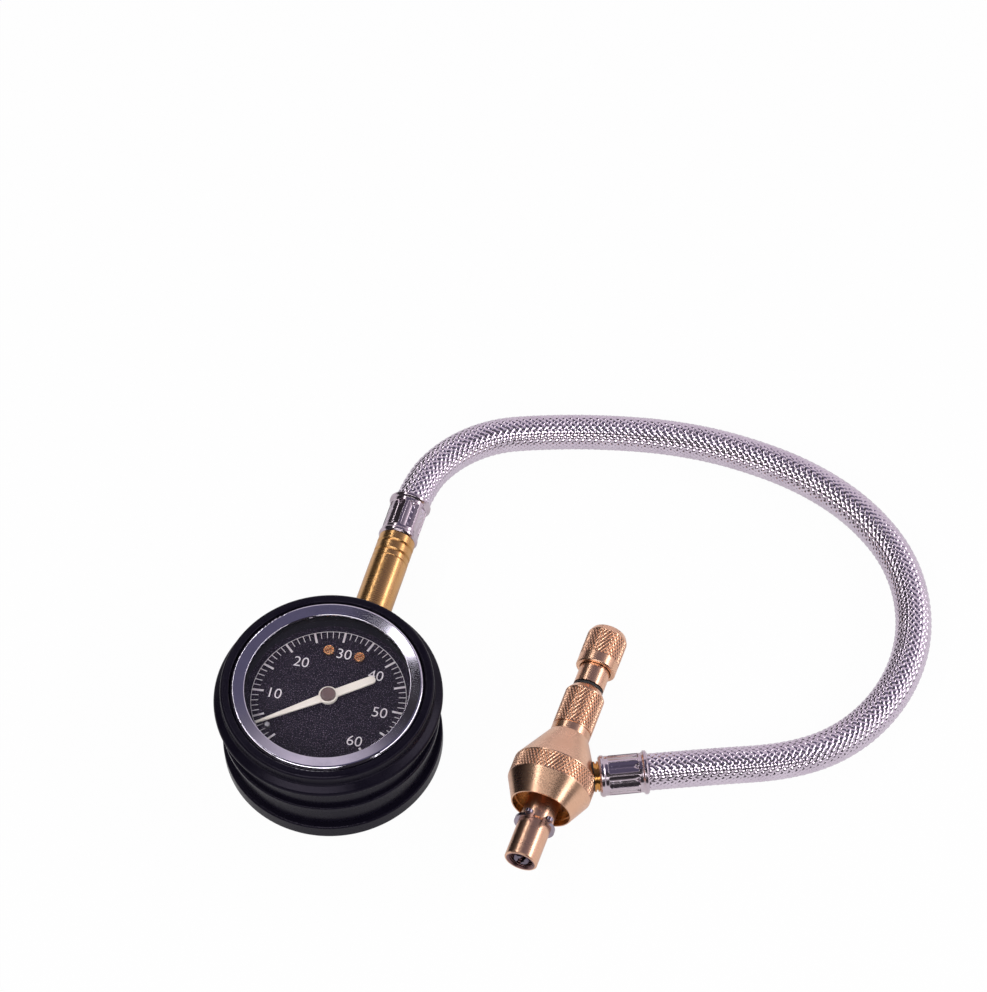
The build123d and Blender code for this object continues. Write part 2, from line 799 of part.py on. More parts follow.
tip_plane = Plane.XZ.rotated((0, 0, tube_free_bearing - tip_sweep))
with BuildPart() as tube_tip:
    with BuildSketch(tip_plane):
        with Locations((tube_circle, tube_centre_height)):
            Rectangle(tube_width + 2 * tip_overhang, tube_height + 2 * tip_overhang)
    revolve(axis=Axis.Z, revolution_arc=tip_sweep)
    with BuildSketch(Plane.XY.offset(tube_centre_height + tube_height / 2 + tip_overhang)):
        with Locations((tip_pin.X, tip_pin.Y)):
            Circle(tip_post_radius)
    extrude(amount=link_bottom - 0.1 - tube_centre_height - tube_height / 2 - tip_overhang)
    with BuildSketch(Plane.XY.offset(link_bottom - 0.1)):
        with Locations((tip_pin.X, tip_pin.Y)):
            Circle(link_pin_radius)
    extrude(amount=link_thickness + 0.4)
save(tube_tip, "tube_tip")

# The hairspring: a flat spiral from the arbor's collet to a stud under the front plate
hairspring_outer = hairspring_start + hairspring_pitch * hairspring_turns
spring_level = front_plate_bottom - 1.25
spring_steps = 8 * hairspring_turns


def spiral(offset):
    """Points of the spiral, moved outwards by an offset."""
    points = []
    for step in range(spring_steps + 1):
        turn = step / 8
        radius = hairspring_start + offset + hairspring_pitch * turn
        points.append((radius * cos(radians(360 * turn)), radius * sin(radians(360 * turn))))
    return points


with BuildPart() as hairspring:
    with BuildSketch(Plane.XY.offset(spring_level)):
        with BuildLine():
            spring_inside = Spline(*spiral(0))
            spring_outside = Spline(*spiral(hairspring_strip))
            Line(spring_inside @ 0, spring_outside @ 0)
            Line(spring_inside @ 1, spring_outside @ 1)
        make_face()
    extrude(amount=hairspring_height)
save(hairspring, "hairspring")

with BuildPart() as hairspring_stud:
    with BuildSketch(Plane.XY.offset(front_plate_bottom)):
        with Locations((hairspring_outer + hairspring_strip + 0.45, 0)):
            Circle(0.4)
    extrude(amount=-1.6)
save(hairspring_stud, "hairspring_stud")

# The pointer lies just above its stop pin; its long arm tapers and its tail is a rounded bar
pointer_plane = Plane.XY.offset(pointer_bottom).rotated((0, 0, pointer_rest_bearing))
with BuildPart() as pointer:
    with BuildSketch(pointer_plane) as pointer_outline:
        outline(
            (0, -pointer_hub_width / 2),
            (pointer_length, -pointer_tip_width / 2),
            (pointer_length, pointer_tip_width / 2),
            (0, pointer_hub_width / 2),
        )
        with Locations((-pointer_tail_length / 2 + pointer_tail_width / 4, 0)):
            SlotOverall(pointer_tail_length + pointer_tail_width / 2, pointer_tail_width)
    extrude(amount=pointer_thickness)
    with BuildSketch(pointer_plane):
        Circle(pointer_hub_radius)
    extrude(amount=pointer_hub_height)
    with BuildSketch(pointer_plane):
        Circle(arbor_radius + 0.02)
    extrude(amount=pointer_hub_height, mode=Mode.SUBTRACT)
save(pointer, "pointer")

with BuildPart() as pointer_cap:
    with BuildSketch(Plane.XY.offset(hub_top)):
        Circle(pointer_cap_radius)
    extrude(amount=pointer_cap_height)
    fillet(pointer_cap.edges().group_by(Axis.Z)[-1], 0.7)
save(pointer_cap, "pointer_cap")

# Brass tube over the stem's nipple, then the grooved hose fitting screwed into its far end
nipple_end = case_radius + nipple_length
stub_start = stem_tube_end - stub_length
with BuildPart() as stem_tube:
    with BuildSketch(stem_section):
        outline(
            (nipple_radius + 0.03, stem_tube_start),
            (stem_tube_radius, stem_tube_start),
            (stem_tube_radius, stem_tube_end - 0.2),
            (stem_tube_radius - 0.2, stem_tube_end),
            (stub_radius + 0.03, stem_tube_end),
            (stub_radius + 0.03, stub_start - 1),
            (stem_bore_radius + 0.7, stub_start - 1),
            (stem_bore_radius + 0.7, nipple_end + 1),
            (nipple_radius + 0.03, nipple_end + 1),
        )
    revolve(axis=stem_axis)
save(stem_tube, "stem_tube")

with BuildPart() as hose_fitting:
    with BuildSketch(stem_section):
        vee = []
        for station in vee_stations:
            vee.append((fitting_radius, station - vee_width / 2))
            vee.append((fitting_radius - vee_depth, station))
            vee.append((fitting_radius, station + vee_width / 2))
        outline(
            (stem_bore_radius, stub_start),
            (stub_radius, stub_start),
            (stub_radius, stem_tube_end),
            (fitting_radius - 0.2, stem_tube_end),
            (fitting_radius, stem_tube_end + 0.2),
            *vee,
            (fitting_radius, fitting_end),
            (barb_radius, fitting_end),
            (barb_radius, fitting_end + barb_length),
            (barb_radius - 0.5, fitting_end + barb_length + 0.6),
            (stem_bore_radius, fitting_end + barb_length + 0.6),
        )
    revolve(axis=stem_axis)
save(hose_fitting, "hose_fitting")


def ferrule_outline(start):
    """The crimped ferrule's section: floor, two end beads and the straight shell between."""
    end = start + ferrule_length
    shell_bore = hose_radius + 0.02
    outline(
        (barb_radius + 0.02, start),
        (ferrule_bead_radius - 0.5, start),
        (ferrule_bead_radius, start + 0.5),
        (ferrule_bead_radius, start + ferrule_bead - 0.4),
        (ferrule_radius, start + ferrule_bead),
        (ferrule_radius, end - ferrule_bead),
        (ferrule_mouth_radius, end - ferrule_bead + 0.5),
        (ferrule_mouth_radius, end - 0.4),
        (ferrule_mouth_radius - 0.4, end),
        (shell_bore + ferrule_flare, end),
        (shell_bore + 0.05, end - 2.6),
        (shell_bore, end - 4),
        (shell_bore, start + ferrule_floor),
        (barb_radius + 0.02, start + ferrule_floor),
    )


def panel_planes(middle, offset=0):
    """One plane for each crimp panel, standing on the panel's flat and facing outwards."""
    planes = []
    flat = ferrule_radius - ferrule_panel_depth
    for index in range(ferrule_panels):
        turn = radians((index + 0.5) * 360 / ferrule_panels + offset)
        outward = middle.x_dir * cos(turn) + middle.y_dir * sin(turn)
        planes.append(Plane(origin=middle.origin + outward * flat, x_dir=middle.z_dir, z_dir=outward))
    return planes


ferrule_start = fitting_end + 0.2
with BuildPart() as gauge_ferrule:
    with BuildSketch(stem_section):
        ferrule_outline(ferrule_start)
    revolve(axis=stem_axis)
    for panel in panel_planes(stem_plane(ferrule_start + ferrule_length / 2)):
        with BuildSketch(panel):
            RectangleRounded(ferrule_panel_length, ferrule_panel_width, 0.6)
        extrude(amount=2, mode=Mode.SUBTRACT)
save(gauge_ferrule, "gauge_ferrule")

head_ferrule_start = port_ring_end + 0.1
with BuildPart() as head_ferrule:
    with BuildSketch(port_section):
        ferrule_outline(head_ferrule_start)
    revolve(axis=port_axis)
    for panel in panel_planes(port_plane(head_ferrule_start + ferrule_length / 2), head_panel_turn):
        with BuildSketch(panel):
            RectangleRounded(ferrule_panel_length, ferrule_panel_width, 0.6)
        extrude(amount=2, mode=Mode.SUBTRACT)
save(head_ferrule, "head_ferrule")

seat = -port_seat
ring_start = seat + washer_thickness
ring_length = (port_ring_end - ring_start - port_groove_depth) / 2
with BuildPart() as head_fitting:
    with BuildSketch(port_section):
        outline(
            (stem_bore_radius, seat - port_stub_length),
            (port_stub_radius, seat - port_stub_length),
            (port_stub_radius, ring_start),
            (port_fitting_radius, ring_start),
            (port_fitting_radius, ring_start + ring_length),
            (port_fitting_radius - port_groove_depth, ring_start + ring_length),
            (port_fitting_radius - port_groove_depth, ring_start + ring_length + port_groove_depth),
            (port_fitting_radius, ring_start + ring_length + port_groove_depth),
            (port_fitting_radius, port_ring_end),
            (barb_radius, port_ring_end),
            (barb_radius, port_ring_end + barb_length),
            (barb_radius - 0.5, port_ring_end + barb_length + 0.6),
            (stem_bore_radius, port_ring_end + barb_length + 0.6),
        )
    revolve(axis=port_axis)
save(head_fitting, "head_fitting")

with BuildPart() as port_washer:
    with BuildSketch(port_plane(seat)):
        Circle(washer_radius)
        Circle(port_stub_radius + 0.05, mode=Mode.SUBTRACT)
    extrude(amount=washer_thickness)
save(port_washer, "port_washer")

# The hose lies in a loop on the table, from the gauge's ferrule round to the head's ferrule
hose_start = ferrule_start + ferrule_floor + hose_end_gap
hose_end = head_ferrule_start + ferrule_floor + hose_end_gap
port_turn = port_origin + port_along * 29
port_end = port_origin + port_along * hose_end
hose_route = [
    Vector(0, hose_start, stem_height),
    Vector(0, 83.6, stem_height),
    Vector(5.6, 97.6, 10.2),
    Vector(15.8, 108.8, 8.4),
    Vector(29.2, 115.3, 6.3),
    Vector(46, 120.7, 5.3),
    Vector(66.6, 124.4, 5.3),
    Vector(86.5, 124.8, 5.3),
    Vector(109, 121.3, 5.3),
    Vector(128.7, 112.6, 5.3),
    Vector(144.3, 98.2, 5.3),
    Vector(152.8, 78, 5.3),
    Vector(152.5, 57.3, 5.3),
    Vector(144.4, 38.6, 5.4),
    Vector(130.2, 23.8, 8.4),
    port_turn,
    port_end,
]
hose_runs = [b - a for a, b in zip(hose_route, hose_route[1:])]
hose_turns = [a.get_angle(b) for a, b in zip(hose_runs, hose_runs[1:])]
hose_radii = [
    0.45 * min(a.length, b.length) / tan(radians(turn) / 2)
    for a, b, turn in zip(hose_runs, hose_runs[1:], hose_turns)
]
print("hose radii", [round(radius, 1) for radius in hose_radii])
with BuildPart() as hose:
    with BuildLine() as hose_path:
        FilletPolyline(*hose_route, radius=hose_radii)
    with BuildSketch(stem_plane(hose_start)):
        Circle(hose_radius)
    sweep()
    with BuildSketch(stem_plane(hose_start)):
        Circle(hose_bore_radius)
    extrude(amount=barb_length, mode=Mode.SUBTRACT)
    with BuildSketch(port_plane(hose_end)):
        Circle(hose_bore_radius)
    extrude(amount=barb_length, mode=Mode.SUBTRACT)
hose_length = hose_path.wire().length
print("hose length", round(hose_length, 1))
save(hose, "hose")

# The sliding sleeve's bell: an open mouth, a knurled band, and a cone that carries the port
spigot_end = bell_top_station + bell_spigot_length
big_bore = core_radius + sleeve_fit
small_bore = core_stem_radius + sleeve_fit
seal_groove_radius = big_bore + 1.3
with BuildPart() as sleeve_bell:
    with BuildSketch(head_section):
        outline(
            (bell_entry_radius, bell_mouth_station),
            (bell_mouth_radius, bell_mouth_station),
            (bell_radius, bell_band_start),
            (bell_radius, bell_band_start + knurl_border),
            (bell_radius - knurl_depth, bell_band_start + knurl_border + knurl_depth),
            (bell_radius - knurl_depth, bell_band_end - knurl_border - knurl_depth),
            (bell_radius, bell_band_end - knurl_border),
            (bell_radius, bell_band_end),
            (bell_top_radius, bell_top_station),
            (bell_spigot_radius, bell_top_station),
            (bell_spigot_radius, spigot_end),
            (small_bore, spigot_end),
            (small_bore, chamber_end),
            (chamber_radius, chamber_end),
            (chamber_radius, chamber_start),
            (big_bore, chamber_start),
            (big_bore, bell_seal_station + seal_groove_width),
            (seal_groove_radius, bell_seal_station + seal_groove_width),
            (seal_groove_radius, bell_seal_station),
            (big_bore, bell_seal_station),
            (big_bore, bell_floor_station),
            (bell_cavity_radius, bell_floor_station),
            (bell_cavity_radius, bell_mouth_station + bell_entry_depth),
            (bell_entry_radius, bell_mouth_station + bell_entry_depth),
        )
    revolve(axis=head_axis)
    with BuildSketch(port_plane(seat)):
        Circle(port_spot_radius)
    extrude(amount=4, mode=Mode.SUBTRACT)
    with BuildSketch(port_plane(seat)):
        Circle(port_hole_radius)
    extrude(amount=-port_stub_length - 0.5, mode=Mode.SUBTRACT)
save(sleeve_bell, "sleeve_bell")

with BuildPart() as lower_sleeve_seal:
    with BuildSketch(head_section):
        with Locations((big_bore + 0.65, bell_seal_station + seal_groove_width / 2)):
            Circle(0.63)
    revolve(axis=head_axis)
save(lower_sleeve_seal, "lower_sleeve_seal")

# The knurled nut that closes the sleeve over its upper seal
seal_pocket_end = spigot_end + 1.4
with BuildPart() as sleeve_nut:
    with BuildSketch(head_section):
        outline(
            (bell_spigot_radius + 0.03, bell_top_station),
            (nut_radius, bell_top_station),
            (nut_radius, nut_ring_end),
            (nut_radius - nut_line_depth, nut_ring_end),
            (nut_radius - nut_line_depth, nut_ring_end + nut_line_width),
            (nut_radius, nut_ring_end + nut_line_width),
            (nut_radius, nut_ring_end + nut_line_width + knurl_border),
            (nut_radius - knurl_depth, nut_ring_end + nut_line_width + knurl_border + knurl_depth),
            (nut_radius - knurl_depth, nut_knurl_end - knurl_border - knurl_depth),
            (nut_radius, nut_knurl_end - knurl_border),
            (nut_radius, nut_knurl_end),
            (nut_end_radius, nut_end_station),
            (small_bore, nut_end_station),
            (small_bore, seal_pocket_end),
            (bell_spigot_radius + 0.03, seal_pocket_end),
        )
    revolve(axis=head_axis)
save(sleeve_nut, "sleeve_nut")

with BuildPart() as upper_sleeve_seal:
    with BuildSketch(head_section):
        with Locations((small_bore + 0.49, spigot_end + 0.7)):
            Circle(0.48)
    revolve(axis=head_axis)
save(upper_sleeve_seal, "upper_sleeve_seal")

# The core tube: valve thread at the tip, a seal behind it, vent holes and a stepped stem
seal_end = thread_depth + seal_thickness
groove_floor = core_radius - circlip_groove_depth
rod_collar_end = tool_end_station + tool_length + rod_seal_gap + rod_collar
bore_end = rod_collar_end + rod_travel + 0.2
with BuildPart() as core_tube:
    with BuildSketch(head_section):
        outline(
            (thread_radius + 0.35, 0),
            (core_radius - 0.25, 0),
            (core_radius, 0.25),
            (core_radius, circlip_station - 0.05),
            (groove_floor, circlip_station - 0.05),
            (groove_floor, circlip_end + 0.05),
            (core_radius, circlip_end + 0.05),
            (core_radius, core_step_station - 0.4),
            (core_radius - 0.4, core_step_station),
            (core_stem_radius, core_step_station),
            (core_stem_radius, core_length),
            (spigot_radius, core_length),
            (spigot_radius, core_length + spigot_length),
            (rod_radius + running_clearance, core_length + spigot_length),
            (rod_radius + running_clearance, bore_end),
            (core_bore_radius, bore_end),
            (core_bore_radius, seal_end),
            (seal_radius + 0.02, seal_end),
            (seal_radius + 0.02, thread_depth),
            (thread_radius, thread_depth),
            (thread_radius, 0.35),
        )
    revolve(axis=head_axis)
    for index in range(vent_count):
        bearing = radians(30 + index * 360 / vent_count)
        outward = Vector(0, 0, 1) * cos(bearing) + head_side * sin(bearing)
        with BuildSketch(Plane(origin=head_origin + head_along * vent_station, x_dir=head_along, z_dir=outward)):
            Circle(vent_radius)
        extrude(amount=core_radius + 1, mode=Mode.SUBTRACT)
save(core_tube, "core_tube")

with BuildPart() as valve_seal:
    with BuildSketch(head_plane(thread_depth)):
        Circle(seal_radius)
        Circle(seal_bore_radius, mode=Mode.SUBTRACT)
    extrude(amount=seal_thickness)
save(valve_seal, "valve_seal")

# The circlip: a tapering ring, thickest away from its gap, with two eyed lugs
with BuildPart() as circlip:
    with BuildSketch(head_plane(circlip_station)):
        with Locations((-0.25 * cos(radians(circlip_turn)), -0.25 * sin(radians(circlip_turn)))):
            Circle(circlip_radius)
        for side in (-1, 1):
            lug_turn = circlip_turn + side * (circlip_gap_angle / 2 + 8)
            lug_place = (
                circlip_lug_circle * cos(radians(lug_turn)),
                circlip_lug_circle * sin(radians(lug_turn)),
            )
            with BuildLine():
                Polyline(
                    (5.0 * cos(radians(lug_turn - 12)), 5.0 * sin(radians(lug_turn - 12))),
                    (7.0 * cos(radians(lug_turn - 9)), 7.0 * sin(radians(lug_turn - 9))),
                    (7.0 * cos(radians(lug_turn + 9)), 7.0 * sin(radians(lug_turn + 9))),
                    (5.0 * cos(radians(lug_turn + 12)), 5.0 * sin(radians(lug_turn + 12))),
                    close=True,
                )
            make_face()
            with Locations(lug_place):
                Circle(circlip_lug_radius)
        Circle(groove_floor + 0.03, mode=Mode.SUBTRACT)
        with BuildLine():
            gap_edge = circlip_gap_angle / 2 - 3
            Polyline(
                (0, 0),
                (12 * cos(radians(circlip_turn + gap_edge)), 12 * sin(radians(circlip_turn + gap_edge))),
                (12 * cos(radians(circlip_turn - gap_edge)), 12 * sin(radians(circlip_turn - gap_edge))),
                close=True,
            )
        make_face(mode=Mode.SUBTRACT)
        for side in (-1, 1):
            lug_turn = circlip_turn + side * (circlip_gap_angle / 2 + 8)
            with Locations(
                (circlip_lug_circle * cos(radians(lug_turn)), circlip_lug_circle * sin(radians(lug_turn)))
            ):
                Circle(circlip_eye_radius, mode=Mode.SUBTRACT)
    extrude(amount=circlip_thickness)
save(circlip, "circlip")

# Between the stem's shoulder and the neck sits the bumper ring that stops the sleeve
with BuildPart() as bumper_ring:
    with BuildSketch(head_section):
        with Locations((spigot_radius + bumper_section + 0.02, core_length + bumper_section + bumper_gap)):
            Circle(bumper_section)
    revolve(axis=head_axis)
save(bumper_ring, "bumper_ring")

spigot_tip = core_length + spigot_length
with BuildPart() as neck:
    with BuildSketch(head_section):
        outline(
            (spigot_radius + 0.03, neck_start),
            (neck_radius, neck_start),
            (neck_radius, neck_end_station - neck_chamfer),
            (neck_radius - neck_chamfer, neck_end_station),
            (rod_radius + running_clearance, neck_end_station),
            (rod_radius + running_clearance, spigot_tip),
            (spigot_radius + 0.03, spigot_tip),
        )
    revolve(axis=head_axis)
save(neck, "neck")

# The plunger: a slotted core tool, a rod with its seal, and the knurled knob
tool_end = tool_end_station + tool_length
knob_seat = knob_start_station + knob_recess_depth
with BuildPart() as core_tool:
    with BuildSketch(head_section):
        outline(
            (tool_bore_radius, tool_end_station),
            (tool_radius - 0.3, tool_end_station),
            (tool_radius, tool_end_station + 0.3),
            (tool_radius, tool_end),
            (tool_socket_radius + 0.02, tool_end),
            (tool_socket_radius + 0.02, tool_end - tool_socket_depth),
            (tool_bore_radius, tool_end - tool_socket_depth),
        )
    revolve(axis=head_axis)
    with BuildSketch(head_plane(tool_end_station)):
        Rectangle(2 * tool_radius + 1, tool_slot_width, rotation=25)
    extrude(amount=tool_slot_depth, mode=Mode.SUBTRACT)
save(core_tool, "core_tool")

with BuildPart() as plunger_rod:
    with BuildSketch(head_section):
        outline(
            (0, tool_end - tool_socket_depth + 0.2),
            (tool_socket_radius, tool_end - tool_socket_depth + 0.2),
            (tool_socket_radius, tool_end),
            (core_bore_radius - 2 * rod_seal_section - 0.08, tool_end),
            (core_bore_radius - 2 * rod_seal_section - 0.08, tool_end + rod_seal_gap),
            (tool_radius, tool_end + rod_seal_gap),
            (tool_radius, rod_collar_end),
            (rod_radius, rod_collar_end),
            (rod_radius, knob_seat),
            (rod_thread_radius, knob_seat),
            (rod_thread_radius, knob_seat + rod_thread_length),
            (0, knob_seat + rod_thread_length),
        )
    revolve(axis=head_axis)
save(plunger_rod, "plunger_rod")

with BuildPart() as rod_seal:
    with BuildSketch(head_section):
        with Locations((core_bore_radius - rod_seal_section - 0.04, tool_end + rod_seal_gap / 2)):
            Circle(rod_seal_section)
    revolve(axis=head_axis)
save(rod_seal, "rod_seal")

with BuildPart() as knob:
    with BuildSketch(head_section) as knob_section:
        outline(
            (knob_recess_radius, knob_start_station),
            (knob_radius - 0.3, knob_start_station),
            (knob_radius, knob_start_station + 0.3),
            (knob_radius, knob_start_station + knob_band),
            (knob_radius - knurl_depth, knob_start_station + knob_band + knurl_depth),
            (knob_radius - knurl_depth, knob_end_station - knob_crown - knurl_border - knurl_depth),
            (knob_radius, knob_end_station - knob_crown - knurl_border),
            (knob_radius, knob_end_station - knob_crown),
            (knob_radius - 0.8, knob_end_station - 0.4),
            (knob_radius - 1.8, knob_end_station),
            (0, knob_end_station),
            (0, knob_seat + rod_thread_length + 0.3),
            (rod_thread_radius + 0.02, knob_seat + rod_thread_length + 0.3),
            (rod_thread_radius + 0.02, knob_seat),
            (knob_recess_radius, knob_seat),
        )
        round_corners(
            knob_section,
            (
                ((knob_radius, knob_end_station - knob_crown), 1.2),
                ((knob_radius - 0.8, knob_end_station - 0.4), 0.9),
                ((knob_radius - 1.8, knob_end_station), 0.8),
            ),
        )
    revolve(axis=head_axis)
save(knob, "knob")
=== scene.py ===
# %% [markdown]
# # A tire deflator in brass, steel braid and rubber
#
# This scene dresses a finished CAD model of a tire deflator: a dial gauge in a rubber boot, a
# braided hose and a brass head. The solids come in already sized and placed, so the work here is
# what solids leave out: the braid, the knurling, the print on the dial, and materials and light
# that make brass look like brass.
#
# Everything is in metres, in the model's own frame. `+Z` is up through the dial, and `+Y` runs
# along the gauge's stem.

from math import cos, pi, radians, sin

import bpy
from mathutils import Matrix, Vector


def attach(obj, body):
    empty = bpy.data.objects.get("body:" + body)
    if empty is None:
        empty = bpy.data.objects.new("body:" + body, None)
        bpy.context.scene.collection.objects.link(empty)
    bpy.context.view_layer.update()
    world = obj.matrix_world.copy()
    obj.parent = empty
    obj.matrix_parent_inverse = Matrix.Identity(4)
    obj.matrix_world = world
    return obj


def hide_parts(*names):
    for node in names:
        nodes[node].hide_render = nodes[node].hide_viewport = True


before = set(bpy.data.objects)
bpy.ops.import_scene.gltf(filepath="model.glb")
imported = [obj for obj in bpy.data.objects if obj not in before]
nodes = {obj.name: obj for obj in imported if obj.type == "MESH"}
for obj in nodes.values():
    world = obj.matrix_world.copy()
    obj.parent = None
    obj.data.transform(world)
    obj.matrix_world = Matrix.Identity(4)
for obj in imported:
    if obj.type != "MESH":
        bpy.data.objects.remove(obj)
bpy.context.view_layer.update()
MM = 0.001

# %% [markdown]
# ## Places to build on
#
# Three lines carry all the round pieces: the dial's vertical axis, and the head's axis, which
# lies level above the table. The head's axis is given by a point, at the tip's open mouth, and a
# direction. `along_head` turns a distance from the mouth into a full placement.

# %%
DIAL_FACE = 23.6 * MM
HEAD_BEARING = radians(86.8)
head_along = Vector((cos(HEAD_BEARING), sin(HEAD_BEARING), 0))
head_side = Vector((sin(HEAD_BEARING), -cos(HEAD_BEARING), 0))
head_mouth = Vector((64.3, -29.5, 12.15)) * MM


def along_head(distance):
    """A placement on the head's axis: local Z runs along the axis and local X points sideways."""
    turn = Matrix((head_side, head_along.cross(head_side), head_along)).transposed().to_4x4()
    return Matrix.Translation(head_mouth + head_along * distance) @ turn


# %% [markdown]
# ## Small tools for node trees
#
# Shader trees and Geometry Nodes trees are both graphs of nodes, so one small class builds both.
# `add` makes a node, sets its plain settings, and fills its inputs: an input takes either a
# number or another node's output, which becomes a link. The other methods are short forms of the
# nodes that are used most. Each returns the output that the next node needs.


# %%
class Graph:
    """A node tree that is filled by calls instead of by hand."""

    def __init__(self, tree):
        self.tree = tree

    def add(self, kind, inputs=None, **settings):
        node = self.tree.nodes.new(kind)
        for name, value in settings.items():
            setattr(node, name, value)
        for key, value in (inputs or {}).items():
            if isinstance(value, bpy.types.NodeSocket):
                self.link(value, node.inputs[key])
            else:
                node.inputs[key].default_value = value
        return node

    def link(self, source, target):
        self.tree.links.new(source, target)

    def math(self, operation, first, second=0.0, third=0.0):
        node = self.add("ShaderNodeMath", {0: first, 1: second, 2: third}, operation=operation)
        return node.outputs[0]

    def clamp(self, value, lowest, highest):
        return self.math("MAXIMUM", self.math("MINIMUM", value, highest), lowest)

    def vector(self, operation, first, second=(0, 0, 0)):
        node = self.add("ShaderNodeVectorMath", {0: first, 1: second}, operation=operation)
        return node.outputs[1 if operation in ("DOT_PRODUCT", "LENGTH") else 0]

    def ramp(self, factor, *stops):
        node = self.add("ShaderNodeValToRGB", {0: factor})
        while len(node.color_ramp.elements) < len(stops):
            node.color_ramp.elements.new(0.5)
        for element, (place, colour) in zip(node.color_ramp.elements, stops):
            element.position = place
            element.color = (*colour, 1)
        return node.outputs[0]

    def mix(self, factor, first, second):
        # Sockets 6 and 7 of the Mix node are its two colours.
        node = self.add("ShaderNodeMix", {0: factor, 6: first, 7: second}, data_type="RGBA")
        return node.outputs[2]

    def scale(self, vector, factor):
        node = self.add("ShaderNodeVectorMath", {0: vector, "Scale": factor}, operation="SCALE")
        return node.outputs[0]


def group_graph(name, kind, inputs, outputs):
    """A new node group with named sockets: its graph, its input node and its output node."""
    tree = bpy.data.node_groups.new(name, kind)
    for label, socket, value in inputs:
        made = tree.interface.new_socket(label, in_out="INPUT", socket_type=socket)
        if value is not None:
            made.default_value = value
    for label, socket in outputs:
        tree.interface.new_socket(label, in_out="OUTPUT", socket_type=socket)
    graph = Graph(tree)
    return graph, graph.add("NodeGroupInput"), graph.add("NodeGroupOutput")


# %% [markdown]
# ## Surface detail as shader groups
#
# Real metal is never even. Two groups give that unevenness and can be used by any material:
#
# - **Turned lines** are the fine rings a lathe leaves. They depend only on the distance along an
#   axis, so a one-dimensional noise of that distance is enough.
# - **Handling** is a soft, cloudy mask for fingerprints and dull patches, with a finer speckle.

# %%
FLOAT, VECTOR = "NodeSocketFloat", "NodeSocketVector"

lines, start, end = group_graph(
    "Turned lines",
    "ShaderNodeTree",
    [("Axis", VECTOR, (0, 0, 1)), ("Scale", FLOAT, 4000.0), ("Strength", FLOAT, 0.1)],
    [("Lines", FLOAT), ("Normal", VECTOR)],
)
place = lines.add("ShaderNodeTexCoord").outputs["Object"]
distance = lines.vector("DOT_PRODUCT", place, start.outputs["Axis"])
stretched = lines.math("MULTIPLY", distance, start.outputs["Scale"])
fine = lines.add(
    "ShaderNodeTexNoise", {"W": stretched, "Scale": 1.0, "Detail": 3.0}, noise_dimensions="1D"
)
bump = lines.add(
    "ShaderNodeBump",
    {"Height": fine.outputs[0], "Strength": start.outputs["Strength"], "Distance": 0.0001},
)
lines.link(fine.outputs[0], end.inputs["Lines"])
lines.link(bump.outputs[0], end.inputs["Normal"])

handling, start, end = group_graph(
    "Handling",
    "ShaderNodeTree",
    [("Cloud size", FLOAT, 150.0), ("Speckle size", FLOAT, 3000.0), ("Contrast", FLOAT, 1.0)],
    [("Mask", FLOAT)],
)
place = handling.add("ShaderNodeTexCoord").outputs["Object"]
cloud = handling.add(
    "ShaderNodeTexNoise", {"Vector": place, "Scale": start.outputs["Cloud size"], "Detail": 5.0}
)
speckle = handling.add(
    "ShaderNodeTexNoise", {"Vector": place, "Scale": start.outputs["Speckle size"], "Detail": 2.0}
)
SPECKLE_SHARE = 0.35
AVERAGE = 0.67  # about what the two noises add up to on average
both = handling.math("MULTIPLY_ADD", speckle.outputs[0], SPECKLE_SHARE, cloud.outputs[0])
centred = handling.math("SUBTRACT", both, AVERAGE)
spread = handling.math("MULTIPLY_ADD", centred, start.outputs["Contrast"], 0.5)
handling.link(handling.clamp(spread, 0.0, 1.0), end.inputs["Mask"])
print("shader groups:", lines.tree.name, "and", handling.tree.name)

# %% [markdown]
# ## Metals
#
# One function makes every metal. What changes is the colour, how sharp the reflections are, and
# the axis its lathe lines run round. The handling mask darkens the colour a little and blurs the
# reflections, which breaks up the clean look of a computed surface.


# %%
def material(name):
    made = bpy.data.materials.new(name)
    made.use_nodes = True
    graph = Graph(made.node_tree)
    return made, graph, made.node_tree.nodes["Principled BSDF"]


def shader_of(made):
    return made.node_tree.nodes["Principled BSDF"]


def handling_mask(graph, contrast=1.0):
    node = graph.add("ShaderNodeGroup", {"Contrast": contrast}, node_tree=handling.tree)
    return node.outputs["Mask"]


STREAK_BLUR = 0.04
DULL_BLUR = 0.08


def metal(name, colour, tarnish, roughness, axis=(0, 0, 1), lines_strength=0.15, clouds=1.0):
    """A metal with lathe lines round an axis; tarnish is the colour of its dull patches."""
    made, graph, shader = material(name)
    mask = handling_mask(graph, clouds)
    turned = graph.add(
        "ShaderNodeGroup", {"Axis": axis, "Strength": lines_strength}, node_tree=lines.tree
    )
    tint = graph.mix(mask, (*colour, 1), (*tarnish, 1))
    sharp = roughness - STREAK_BLUR
    streaks = graph.math("MULTIPLY_ADD", turned.outputs["Lines"], STREAK_BLUR, sharp)
    graph.link(tint, shader.inputs["Base Color"])
    graph.link(graph.math("MULTIPLY_ADD", mask, DULL_BLUR, streaks), shader.inputs["Roughness"])
    graph.link(turned.outputs["Normal"], shader.inputs["Normal"])
    shader.inputs["Metallic"].default_value = 1.0
    return made


# %% [markdown]
# The head's parts are turned on the head's axis and the fitting on the port's. Each metal is given
# by its clean colour, its dull colour and its roughness.

# %%
HEAD_AXIS = tuple(head_along)
PORT_BEARING = HEAD_BEARING - radians(90 - 24.5)
PORT_AXIS = (cos(PORT_BEARING), sin(PORT_BEARING), 0)

